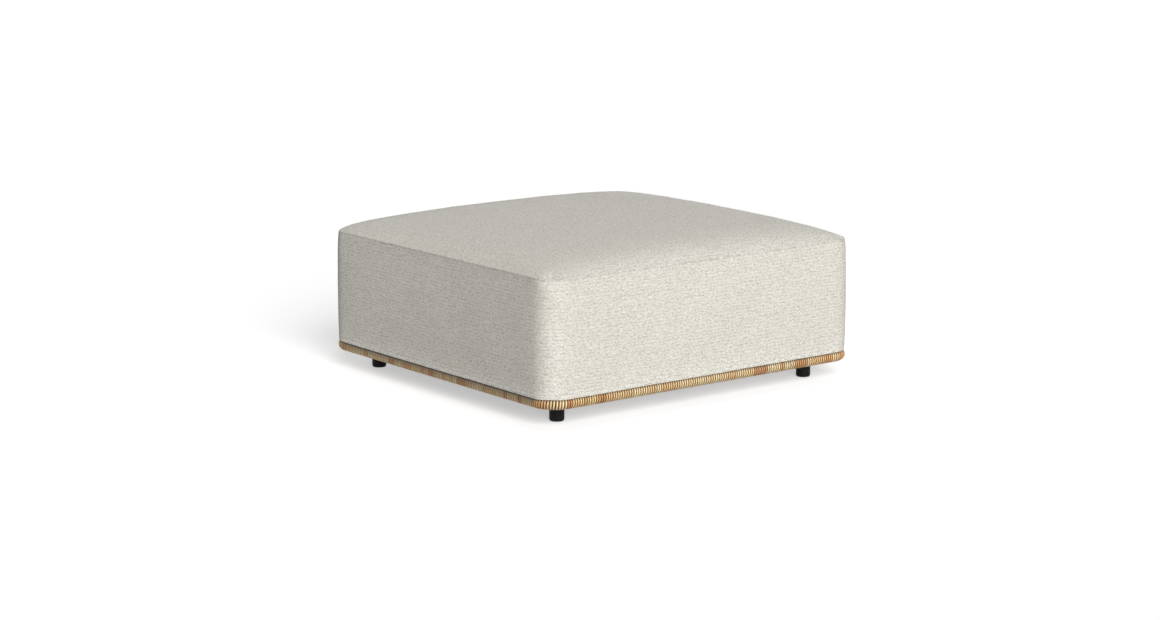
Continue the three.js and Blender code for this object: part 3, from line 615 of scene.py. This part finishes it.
def wadding_wrap(material):
    """The wadding between the cover and the foam: one closed shell, open over the board."""
    foot_share = (WADDING_FOOT - FOOT_Z) / (SEAM_HEIGHT - FOOT_Z)
    inner = SEAM_INSET + WADDING_INSET + WADDING_THICKNESS
    flat, face, edge = patch(SEAM_INSET + WADDING_INSET, WADDING_STEPS)
    points, faces = [np.column_stack([flat, crown_height(*flat.T) - WADDING_INSET])], [face]
    rows = []
    for share in np.linspace(1, foot_share, 24)[1:]:
        height = FOOT_Z + (SEAM_HEIGHT - FOOT_Z) * share
        rows.append((side_inset(share) + WADDING_INSET, height))
    rows += [(inner, WADDING_FOOT), (inner, (WADDING_FOOT + SEAM_HEIGHT) / 2)]
    numbers = add_rings(points, faces, edge, rows, WADDING_STEPS)
    count = sum(map(len, points))
    flat, face, edge = patch(inner, WADDING_STEPS)
    height = crown_height(*flat.T) - WADDING_INSET - WADDING_THICKNESS
    points.append(np.column_stack([flat, height]))
    faces.append(strips(count + edge, numbers[-1]))
    faces.append(face[:, ::-1] + count)
    points = sewn_corners(np.vstack(points))
    wrap = new_object("wadding_wrap", points * MM, np.vstack(faces), material)
    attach(wrap, "cushion_block")
    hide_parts("fibre_wrap")


# ---------------------------------------------------------------- the wrapped rail


def rail_path(lengths):
    """Places and outward directions on the rail's centre line, by length from mid-front."""
    half_x, half_y = RAIL_HALF
    arc = RAIL_CORNER * QUARTER
    quarter_length = half_x + half_y - 2 * RAIL_CORNER + arc
    lengths = np.mod(lengths, 4 * quarter_length)
    quarter = np.minimum(np.floor(lengths / quarter_length), 3).astype(int)
    along = lengths - quarter * quarter_length
    odd = quarter % 2 == 1
    reach = np.where(odd, half_y, half_x)
    offset = np.where(odd, half_x, half_y)
    straight = reach - RAIL_CORNER
    turn = np.clip((along - straight) / RAIL_CORNER, 0, QUARTER)
    x = np.minimum(along, straight) + RAIL_CORNER * np.sin(turn)
    y = RAIL_CORNER * (1 - np.cos(turn)) + np.maximum(0, along - straight - arc) - offset
    out_x, out_y = np.sin(turn), -np.cos(turn)
    angle = quarter * QUARTER
    cosine, sine = np.cos(angle), np.sin(angle)
    place = np.stack([x * cosine - y * sine, x * sine + y * cosine], -1)
    outward = np.stack([out_x * cosine - out_y * sine, out_x * sine + out_y * cosine], -1)
    return place, outward


def turn_lengths():
    """Lengths along the rail, the turn's number at each, closer round corners, and the count."""
    half_x, half_y = RAIL_HALF
    ends, pitches = [0.0], []
    for quarter in range(4):
        reach, other = (half_x, half_y) if quarter % 2 == 0 else (half_y, half_x)
        for length, pitch in (
            (reach - RAIL_CORNER, STRAND_PITCH),
            (RAIL_CORNER * QUARTER, STRAND_PITCH * CORNER_PITCH),
            (other - RAIL_CORNER, STRAND_PITCH),
        ):
            ends.append(ends[-1] + length)
            pitches.append(pitch)
    numbers = np.concatenate([[0], np.cumsum(np.diff(ends) / np.array(pitches))])
    count = round(numbers[-1])
    return np.array(ends), numbers * count / numbers[-1], count


def rattan_tones(count):
    """A tone for each turn: runs of a few turns are cut from one strand and share its colour."""
    palette = np.array(
        [
            (0.99, 0.80, 0.48),
            (0.98, 0.73, 0.385),
            (0.93, 0.62, 0.30),
            (0.82, 0.49, 0.205),
            (0.68, 0.345, 0.13),
        ]
    )
    shares = [0.24, 0.28, 0.20, 0.15, 0.13]
    tones, previous = [], -1
    while len(tones) < count:
        pick = int(RANDOM.choice(len(palette), p=shares))
        if pick == previous:
            continue
        previous = pick
        for _ in range(int(RANDOM.integers(2, 7))):
            tone = palette[pick] * RANDOM.uniform(0.88, 1.07)
            tones.append(tone * (1 + RANDOM.normal(0, 0.02, 3)))
    return np.array(tones[:count])


def strand_winding(material):
    """The half-round strand wound turn by turn, with room where the bars and struts meet it."""
    ends, numbers, count = turn_lengths()
    total = ends[-1]

    def length_at(number):
        wraps = np.floor(number / count)
        return np.interp(number - wraps * count, numbers, ends) + wraps * total

    # Where along the rail a bar or a strut meets it
    joints = [x % total for x in (-LEG_X, 0.0, LEG_X)]
    joints += [total / 4, 3 * (total / 4)]
    joints += [2 * (total / 4) + x for x in (-LEG_X, 0.0, LEG_X)]
    across = np.array([-1, -0.94, -0.76, -0.42, 0, 0.42, 0.76, 0.94, 1.0])
    profile = np.maximum(1 - across**2, 0) ** 0.52
    tones = rattan_tones(count)
    all_points, all_faces, strand, tone_of = [], [], [], []
    first = 0
    for turn in range(count):
        middle = float(length_at(np.array(turn + 0.5)))
        gap = min(min(abs(middle - j), total - abs(middle - j)) for j in joints)
        partial = gap < BAR_HALF + 0.3 + STRAND_PITCH * 0.55
        if partial:
            share = np.linspace(0.5 - OUTER_SHARE, 0.5 + OUTER_SHARE, 15)
        else:
            share = np.linspace(0, 1, 25)
        angle = (share - 0.5) * 2 * math.pi
        wide = 0.955 + RANDOM.uniform(-0.03, 0.02)
        tall = STRAND + RANDOM.uniform(-0.22, 0.0)
        lean = RANDOM.uniform(-0.035, 0.035)
        number = turn + share + lean * np.cos(angle)
        section = number[:, None] + 0.5 * wide * across[None, :]
        place, outward = rail_path(length_at(section))
        ripple = 0.05 * np.sin(angle * 3 + turn * 1.7)
        radius = BORE + (tall + ripple)[:, None] * profile[None, :]
        flat = place + outward * (radius * np.cos(angle)[:, None])[..., None]
        height = RAIL_Z + radius * np.sin(angle)[:, None]
        all_points.append(np.concatenate([flat, height[..., None]], -1).reshape(-1, 3))
        rows, columns = len(share), len(across)
        size = rows * columns
        grid = first + np.arange(size).reshape(rows, columns)
        all_faces.extend(grid_faces(grid)[:, [0, 3, 2, 1]].tolist())
        if partial:
            all_faces.append(grid[0, ::-1].tolist())
            all_faces.append(grid[-1].tolist())
        run = (turn + share) * 2 * math.pi * (BORE + STRAND)
        values = [np.repeat(run, columns), np.tile(across, rows), np.full(size, turn)]
        strand.append(np.stack(values, -1))
        tone_of.append(np.tile(tones[turn], (size, 1)))
        first += size
    obj = new_object("rattan_winding", np.vstack(all_points) * MM, all_faces, material)
    values = np.vstack(strand)
    values[:, 0] *= MM
    point_attribute(obj, "strand", values)
    point_attribute(obj, "tone", np.vstack(tone_of))
    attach(obj, "base_frame")
    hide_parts("rail_wrap_1", "rail_wrap_2", "rail_wrap_3", "rail_wrap_4")


# ---------------------------------------------------------------- legs


def rounded_edge(radius, height, size, count):
    """(radius, height) pairs round a lower outer edge, up to its full radius."""
    angles = np.linspace(0, QUARTER, count)
    return [
        (radius - size * (1 - math.sin(a)), height + size * (1 - math.cos(a))) for a in angles
    ]


def leg_with_glide(number, x, y, metal, plastic):
    profile = [(10.0, 9.5), (10.0, 2.5)] + rounded_edge(LEG_RADIUS, 2.5, 1.5, 7)
    profile += [(LEG_RADIUS, 12), (LEG_RADIUS, 28), (LEG_RADIUS, 45.2)]
    profile += [(LEG_RADIUS - 0.4, 45.6), (9.3, 45.6)]
    leg = turned(f"leg_round_{number}", profile, metal, x, y)
    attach(leg, "base_frame")
    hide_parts(f"leg_{number}")
    profile = rounded_edge(16.0, 0, 0.6, 5) + [(16.0, 2.0), (15.8, 2.2), (9.7, 2.2), (9.7, 9.2)]
    glide = turned(f"leg_foot_glide_{number}", profile, plastic, x, y)
    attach(glide, "base_frame")
    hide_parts(f"leg_glide_{number}")


# ---------------------------------------------------------------- materials


class Shader:
    """A material made of nodes, with one Principled shader."""

    def __init__(self, name):
        self.material = bpy.data.materials.new(name)
        self.material.use_nodes = True
        self.tree = self.material.node_tree
        self.tree.nodes.clear()
        self.surface = self.add("ShaderNodeBsdfPrincipled")
        output = self.add("ShaderNodeOutputMaterial")
        self.tree.links.new(self.surface.outputs[0], output.inputs["Surface"])

    def add(self, kind, **settings):
        node = self.tree.nodes.new(kind)
        for name, value in settings.items():
            setattr(node, name, value)
        return node

    def put(self, socket, value):
        if isinstance(value, bpy.types.NodeSocket):
            self.tree.links.new(value, socket)
        elif isinstance(value, (tuple, list)) and socket.type == "RGBA" and len(value) == 3:
            socket.default_value = (*value, 1)
        else:
            socket.default_value = value

    def set(self, **values):
        for name, value in values.items():
            self.put(self.surface.inputs[name.replace("_", " ")], value)

    def coordinates(self):
        return self.add("ShaderNodeTexCoord").outputs["Object"]

    def attribute(self, name):
        return self.add("ShaderNodeAttribute", attribute_name=name).outputs["Vector"]

    def scaled(self, vector, scale, shift=(0, 0, 0)):
        node = self.add("ShaderNodeMapping")
        self.put(node.inputs["Vector"], vector)
        node.inputs["Scale"].default_value = scale
        node.inputs["Location"].default_value = shift
        return node.outputs[0]

    def noise(self, vector, scale, detail=2.0, roughness=0.5, colour=False):
        node = self.add("ShaderNodeTexNoise")
        self.put(node.inputs["Vector"], vector)
        node.inputs["Scale"].default_value = scale
        node.inputs["Detail"].default_value = detail
        node.inputs["Roughness"].default_value = roughness
        return node.outputs["Color" if colour else "Fac"]

    def cells(self, vector, scale, smooth=0.0):
        node = self.add("ShaderNodeTexVoronoi", feature="SMOOTH_F1" if smooth else "F1")
        self.put(node.inputs["Vector"], vector)
        node.inputs["Scale"].default_value = scale
        if smooth:
            node.inputs["Smoothness"].default_value = smooth
        return node.outputs["Distance"], node.outputs["Color"]

    def math(self, operation, a, b=0.0):
        node = self.add("ShaderNodeMath", operation=operation)
        self.put(node.inputs[0], a)
        self.put(node.inputs[1], b)
        return node.outputs[0]

    def times(self, a, b):
        return self.math("MULTIPLY", a, b)

    def plus(self, a, b):
        return self.math("ADD", a, b)

    def bent(self, vector, scale, detail, roughness, amount):
        """A vector bent by noise, to and fro by amount along each axis."""
        drift = self.noise(vector, scale, detail, roughness, colour=True)
        for operation, other in (("SUBTRACT", (0.5, 0.5, 0.5)), ("MULTIPLY", amount)):
            node = self.add("ShaderNodeVectorMath", operation=operation)
            self.put(node.inputs[0], drift)
            self.put(node.inputs[1], other)
            drift = node.outputs[0]
        node = self.add("ShaderNodeVectorMath", operation="ADD")
        self.put(node.inputs[0], vector)
        self.put(node.inputs[1], drift)
        return node.outputs[0]

    def split(self, vector):
        node = self.add("ShaderNodeSeparateXYZ")
        self.put(node.inputs[0], vector)
        return node.outputs

    def joined(self, x, y, z=0.0):
        node = self.add("ShaderNodeCombineXYZ")
        for socket, value in zip(node.inputs, (x, y, z)):
            self.put(socket, value)
        return node.outputs[0]

    def ranged(self, value, low, high, to_low=0.0, to_high=1.0, kind="LINEAR"):
        node = self.add("ShaderNodeMapRange", interpolation_type=kind)
        self.put(node.inputs["Value"], value)
        limits = {"From Min": low, "From Max": high, "To Min": to_low, "To Max": to_high}
        for name, number in limits.items():
            node.inputs[name].default_value = number
        return node.outputs[0]

    def eased(self, value, low, high, to_low=0.0, to_high=1.0):
        return self.ranged(value, low, high, to_low, to_high, "SMOOTHSTEP")

    def mix(self, factor, a, b, blend="MIX"):
        node = self.add("ShaderNodeMix", data_type="RGBA", blend_type=blend, clamp_result=False)
        self.put(node.inputs[0], factor)
        self.put(node.inputs[6], a)
        self.put(node.inputs[7], b)
        return node.outputs[2]

    def shaded(self, colour, level):
        return self.mix(1.0, colour, self.joined(level, level, level), "MULTIPLY")

    def bump(self, height, distance, strength):
        node = self.add("ShaderNodeBump")
        node.inputs["Strength"].default_value = strength
        node.inputs["Distance"].default_value = distance
        self.put(node.inputs["Height"], height)
        return node.outputs[0]


def fabric():
    """Nubby cream outdoor weave: nubs of yarn with small loops on them, in broken, swaying rows."""
    # The first and third colours are painted shade for the weave's hollows and painted light for
    # the nubs' tips
    hollow_shade = (0.56, 0.535, 0.468)
    body = (0.905, 0.874, 0.803)
    tip_light = (0.99, 0.963, 0.905)
    wool = (0.72, 0.68, 0.60)
    row = 0.0078

    s = Shader("nubby_fabric")
    cloth = s.add("ShaderNodeUVMap", uv_map="cloth").outputs[0]
    bent = s.bent(cloth, 95, 2, 0.5, (0.0022, 0.0026, 0.0))
    nub, nub_tint = s.cells(s.scaled(bent, (1.0, 1.9, 1.0)), 290, 0.2)
    loop, loop_tint = s.cells(s.scaled(bent, (1.0, 1.5, 1.0), (0.31, 0.17, 0)), 620, 0.25)
    fibre = s.noise(s.scaled(bent, (1.0, 1.7, 1.0)), 2100, 3, 0.65)
    sway = s.math("SUBTRACT", s.noise(s.scaled(cloth, (1.0, 1.5, 1.0)), 62, 2, 0.5), 0.5)
    sway = s.times(sway, 11)
    rib = s.math("SINE", s.plus(s.times(s.split(bent)[1], 2 * math.pi / row), sway))
    broken = s.eased(s.noise(s.scaled(bent, (1.0, 2.4, 1.0)), 125, 2, 0.5), 0.40, 0.62)
    line = s.times(s.eased(rib, -1.0, -0.1, 1, 0), broken)

    raised = s.eased(nub, 0.72, 0.08)
    small = s.eased(loop, 0.7, 0.1)
    height = s.plus(s.times(raised, 0.50), s.times(small, 0.30))
    height = s.plus(height, s.times(fibre, 0.20))
    height = s.math("SUBTRACT", height, s.times(line, 0.36))

    # Painted shade in the hollows and painted light on the tips, following the weave's height
    colour = s.mix(s.eased(height, 0.02, 0.48), hollow_shade, body)
    colour = s.mix(s.eased(height, 0.52, 0.88), colour, tip_light)
    colour = s.shaded(colour, s.ranged(s.split(nub_tint)[0], 0, 1, 0.93, 1.05))
    colour = s.mix(s.eased(s.split(loop_tint)[1], 0.84, 1.0, 0, 0.30), colour, wool)
    colour = s.shaded(colour, s.ranged(s.noise(cloth, 7, 2, 0.5), 0.3, 0.7, 0.988, 1.012))

    # The seam's stitches: painted shade at the pinches in the cloth, and puffs between them in the
    # bump
    around, off, _ = s.split(s.add("ShaderNodeUVMap", uv_map="seam").outputs[0])
    stitch = s.eased(s.noise(s.joined(around, 0.5), 105, 2, 0.55), 0.36, 0.62)
    near = s.eased(off, 0.0, 0.0055, 1, 0)
    pinch_shade = s.times(near, s.math("SUBTRACT", 1.0, stitch))
    colour = s.mix(s.times(pinch_shade, 0.08), colour, hollow_shade)
    normal = s.bump(s.plus(height, s.times(s.times(near, stitch), 1.4)), 0.0011, 0.80)
    s.set(Base_Color=colour, Normal=normal, Roughness=s.ranged(height, 0.2, 1.0, 0.95, 0.84))
    s.set(Sheen_Weight=0.15, Sheen_Roughness=0.55, Sheen_Tint=(0.96, 0.95, 0.92))
    s.set(Specular_IOR_Level=0.25)
    return s.material


def rattan():
    """Half-round strand: its own tone on each turn, fine fibres along it, and painted shade on its
    flanks and in the gaps between turns.
    """
    s = Shader("rattan_strand")
    along, across, turn = s.split(s.attribute("strand"))
    tone = s.attribute("tone")
    lane = s.joined(s.times(along, 0.22), s.times(across, 0.0034), s.times(turn, 0.37))
    fibre = s.noise(lane, 1500, 4, 0.6)
    streak = s.noise(lane, 420, 2, 0.5)
    blotch = s.noise(s.joined(along, s.times(across, 0.003), s.times(turn, 0.61)), 95, 2, 0.5)
    duller = s.mix(1.0, tone, (0.68, 0.56, 0.44), "MULTIPLY")
    colour = s.mix(s.ranged(fibre, 0.35, 0.72, 0, 0.30), tone, duller)
    colour = s.mix(s.eased(streak, 0.52, 0.75, 0, 0.30), colour, (0.94, 0.79, 0.54))
    colour = s.mix(s.eased(blotch, 0.58, 0.80, 0, 0.35), colour, (0.46, 0.27, 0.12))
    # Painted shade on the strand's flanks and in the gaps between turns
    dark = s.eased(s.math("ABSOLUTE", across), 0.22, 0.74)
    colour = s.mix(dark, colour, s.mix(1.0, colour, (0.21, 0.17, 0.13), "MULTIPLY"))

    # Painted shade on the strand's shoulder under the cloth on every side, and more painted shade
    # over the upper part of the left side
    rise = s.math("SINE", s.times(along, -1 / ((BORE + STRAND) * MM)))
    x, y, _ = s.split(s.coordinates())
    beside_corners = s.ranged(s.math("ABSOLUTE", y), 0.380, 0.412, 1.0, 0.0)
    left = s.times(s.math("LESS_THAN", x, -0.43), beside_corners)
    left_shoulder_shade = s.times(left, s.eased(rise, -0.6, 0.30, 0.0, 0.62))
    colour = s.mix(left_shoulder_shade, colour, (0.05, 0.042, 0.032))
    # Painted shade under the cloth's foot, on every side
    colour = s.mix(s.eased(rise, 0.38, 0.86, 0.0, 0.62), colour, (0.10, 0.085, 0.065))
    # Deeper painted shade in the gap under the cloth on the left
    left_gap_shade = s.times(left, s.eased(rise, 0.25, 0.62, 0.0, 0.6))
    colour = s.mix(left_gap_shade, colour, (0.03, 0.025, 0.02))
    height = s.plus(s.times(fibre, 0.7), s.times(streak, 0.3))
    s.set(Base_Color=colour, Roughness=s.ranged(fibre, 0.3, 0.7, 0.36, 0.6))
    s.set(Normal=s.bump(height, 0.00022, 0.6))
    s.set(Specular_IOR_Level=0.42, Coat_Weight=0.08, Coat_Roughness=0.35)
    return s.material


def powder_coat(name, colour):
    s = Shader(name)
    at = s.coordinates()
    peel = s.noise(at, 1400, 2, 0.5)
    dust = s.noise(at, 22, 3, 0.6)
    scuff = s.eased(s.noise(s.scaled(at, (1, 1, 3.5)), 130, 4, 0.7), 0.66, 0.80, 0, 0.5)
    light = tuple(c * 1.8 + 0.006 for c in colour)
    mixed = s.mix(s.eased(dust, 0.45, 0.8, 0, 0.35), colour, light)
    mixed = s.mix(scuff, mixed, tuple(c * 1.7 + 0.004 for c in colour))
    s.set(Base_Color=mixed, Roughness=s.ranged(dust, 0.3, 0.7, 0.44, 0.6))
    s.set(Normal=s.bump(peel, 0.00008, 0.5), Specular_IOR_Level=0.14)
    return s.material


def moulded_plastic():
    s = Shader("moulded_black_plastic")
    at = s.coordinates()
    grain = s.noise(at, 2600, 3, 0.6)
    wear = s.noise(at, 160, 3, 0.6)
    clean, worn = (0.010, 0.010, 0.009), (0.026, 0.026, 0.024)
    s.set(Base_Color=s.mix(s.eased(wear, 0.45, 0.75, 0, 0.6), clean, worn))
    s.set(Roughness=s.ranged(wear, 0.3, 0.7, 0.42, 0.62), Normal=s.bump(grain, 0.00006, 0.6))
    return s.material


def plated_steel():
    s = Shader("zinc_plated_steel")
    at = s.coordinates()
    brushed = s.noise(s.scaled(at, (1, 1, 9)), 900, 3, 0.6)
    cloudy = s.noise(at, 210, 2, 0.5)
    colour = s.mix(s.ranged(cloudy, 0.35, 0.7), (0.50, 0.51, 0.52), (0.66, 0.66, 0.64))
    s.set(Base_Color=colour, Metallic=1.0, Roughness=s.ranged(brushed, 0.3, 0.7, 0.28, 0.46))
    s.set(Normal=s.bump(brushed, 0.00004, 0.5))
    return s.material


def plywood():
    """Oiled face with grain and pores, and the plies as dark and light lines on the edges."""
    light, dark, pore = (0.50, 0.34, 0.19), (0.31, 0.185, 0.09), (0.16, 0.09, 0.045)
    s = Shader("marine_plywood")
    at = s.coordinates()
    bent = s.bent(at, 5, 2, 0.5, (0.02, 0.05, 0.0))
    grain = s.noise(s.scaled(bent, (0.06, 1.0, 0.2)), 210, 4, 0.6)
    pores = s.noise(s.scaled(bent, (0.03, 1.0, 0.2)), 900, 2, 0.5)
    ply = s.math("SINE", s.times(s.split(at)[2], 2 * math.pi / 0.0048))
    colour = s.mix(s.eased(grain, 0.3, 0.72), light, dark)
    colour = s.mix(s.eased(pores, 0.6, 0.75, 0, 0.5), colour, pore)
    facing = s.add("ShaderNodeNewGeometry").outputs["Normal"]
    on_edge = s.ranged(s.math("ABSOLUTE", s.split(facing)[2]), 0.4, 0.6, 1.0, 0.0)
    edge = s.shaded(colour, s.ranged(ply, -0.4, 0.4, 0.62, 1.05))
    s.set(Base_Color=s.mix(on_edge, colour, edge))
    s.set(Roughness=s.ranged(grain, 0.3, 0.7, 0.55, 0.75), Normal=s.bump(pores, 0.00025, 0.5))
    return s.material


def foam():
    s = Shader("foam_cells")
    at = s.coordinates()
    cell, _ = s.cells(at, 900)
    soft = s.noise(at, 24, 3, 0.5)
    colour = s.mix(s.ranged(cell, 0.1, 0.7), (0.50, 0.45, 0.28), (0.72, 0.67, 0.47))
    colour = s.shaded(colour, s.ranged(soft, 0.3, 0.7, 0.95, 1.04))
    s.set(Base_Color=colour, Roughness=0.95, Normal=s.bump(cell, 0.0006, 0.7))
    s.set(Specular_IOR_Level=0.15)
    return s.material


def wadding_fibres():
    s = Shader("wadding_fibres")
    bent = s.bent(s.coordinates(), 60, 3, 0.6, (0.02, 0.02, 0.02))
    hair = s.noise(s.scaled(bent, (1, 0.25, 1)), 700, 4, 0.7)
    colour = s.mix(s.ranged(hair, 0.3, 0.7), (0.70, 0.70, 0.68), (0.88, 0.88, 0.86))
    s.set(Base_Color=colour, Roughness=0.97, Normal=s.bump(hair, 0.0012, 0.7))
    s.set(Sheen_Weight=0.3)
    return s.material


def grip_tape():
    s = Shader("woven_grip_tape")
    at = s.coordinates()
    x, y, _ = s.split(at)
    loops = s.times(s.math("SINE", s.times(x, 2600.0)), s.math("SINE", s.times(y, 2600.0)))
    fuzz = s.noise(at, 900, 3, 0.6)
    colour = s.mix(s.ranged(fuzz, 0.3, 0.7), (0.014, 0.014, 0.013), (0.040, 0.040, 0.037))
    height = s.plus(s.times(loops, 0.4), fuzz)
    s.set(Base_Color=colour, Roughness=0.92, Normal=s.bump(height, 0.0005, 0.7))
    s.set(Sheen_Weight=0.2)
    return s.material


# ---------------------------------------------------------------- build

cover_panels(fabric())
strand_winding(rattan())
wadding_wrap(wadding_fibres())

leg_coat = powder_coat("leg_powder_coat", (0.0055, 0.0055, 0.005))
frame_coat = powder_coat("frame_powder_coat", (0.013, 0.013, 0.012))
plastic = moulded_plastic()
steel = plated_steel()

leg_places = [(-LEG_X, -LEG_Y), (LEG_X, -LEG_Y), (LEG_X, LEG_Y), (-LEG_X, LEG_Y)]
for number, (x, y) in enumerate(leg_places, 1):
    leg_with_glide(number, x, y, leg_coat, plastic)

# Looks of the CAD nodes that stay, by the start of their names
bevelled = ("leg_bar", "mid_bar", "side_strut", "seat_slat")
looks = {
    "rail_tube": frame_coat,
    **dict.fromkeys(bevelled, frame_coat),
    "leg_insert": steel,
    "leg_stud": steel,
    "peg_screw": steel,
    "locating_peg": plastic,
    "base_board": plywood(),
    "foam": foam(),
    "hem_tape": grip_tape(),
}
for name, node in frame["nodes"].items():
    look = next((m for start, m in looks.items() if name.startswith(start)), None)
    if node.hide_render or look is None:
        continue
    for slot in node.material_slots:
        slot.material = look
    if name.startswith(bevelled):
        bevel = node.modifiers.new("Bevel", "BEVEL")
        bevel.width = 0.7 * MM
        bevel.segments = 2
        bevel.limit_method = "ANGLE"
        bevel.angle_limit = math.radians(50)


# ---------------------------------------------------------------- stage, light and camera


def floor():
    """A pale floor that takes shadows, looks white and throws back little light."""
    size = 60.0
    corners = [(-size, -size, 0), (size, -size, 0), (size, size, 0), (-size, size, 0)]
    obj = new_object("floor", corners, [(0, 1, 2, 3)])
    s = Shader("pale_floor")
    rays = s.add("ShaderNodeLightPath").outputs
    seen = s.math("MAXIMUM", rays["Is Camera Ray"], rays["Is Glossy Ray"])
    seen = s.math("MAXIMUM", seen, rays["Is Transmission Ray"])
    mottle = s.ranged(s.noise(s.coordinates(), 3, 2, 0.5), 0, 1, 0.41, 0.43)
    tone = s.plus(s.times(seen, 0.49), mottle)
    s.set(Base_Color=s.joined(tone, tone, tone), Roughness=0.9, Specular_IOR_Level=0.0)
    s.set(Emission_Color=(1, 1, 1), Emission_Strength=s.times(seen, 0.48))
    obj.data.materials.append(s.material)


def world():
    """A white backdrop that lights the object only a little."""
    made = bpy.data.worlds.new("studio")
    bpy.context.scene.world = made
    made.use_nodes = True
    tree = made.node_tree
    tree.nodes.clear()
    output = tree.nodes.new("ShaderNodeOutputWorld")
    mix = tree.nodes.new("ShaderNodeMixShader")
    for number, strength in ((1, 0.10), (2, 1.0)):
        light = tree.nodes.new("ShaderNodeBackground")
        light.inputs["Color"].default_value = (1, 1, 1, 1)
        light.inputs["Strength"].default_value = strength
        tree.links.new(light.outputs[0], mix.inputs[number])
    rays = tree.nodes.new("ShaderNodeLightPath").outputs
    seen = rays["Is Camera Ray"]
    for kind in ("Is Glossy Ray", "Is Transmission Ray"):
        either = tree.nodes.new("ShaderNodeMath")
        either.operation = "MAXIMUM"
        tree.links.new(seen, either.inputs[0])
        tree.links.new(rays[kind], either.inputs[1])
        seen = either.outputs[0]
    tree.links.new(seen, mix.inputs[0])
    tree.links.new(mix.outputs[0], output.inputs[0])


def sun(name, towards, strength, spread):
    """A sun in the direction towards, whose disc is spread degrees wide."""
    lamp = bpy.data.lights.new(name, "SUN")
    lamp.energy = strength
    lamp.angle = math.radians(spread)
    obj = bpy.data.objects.new(name, lamp)
    obj.rotation_euler = Vector(towards).to_track_quat("Z", "Y").to_euler()
    bpy.context.scene.collection.objects.link(obj)


floor()
world()
sun("key", (-0.322, -0.817, 0.426), 3.28, 38)
sun("fill", (0.70, 0.70, 0.08), 1.1, 60)

# The camera was fitted to the photo
camera_data = bpy.data.cameras.new("camera")
camera_data.lens = 83.9
camera_data.sensor_width = 36
camera = bpy.data.objects.new("camera", camera_data)
camera.location = (-3.9849, -5.0953, 1.431)
aim = Vector((-0.1228, -0.1204, 0.186)) - camera.location
camera.rotation_euler = aim.to_track_quat("-Z", "Y").to_euler()
bpy.context.scene.collection.objects.link(camera)
bpy.context.scene.camera = camera
bpy.context.scene.view_settings.view_transform = "Standard"
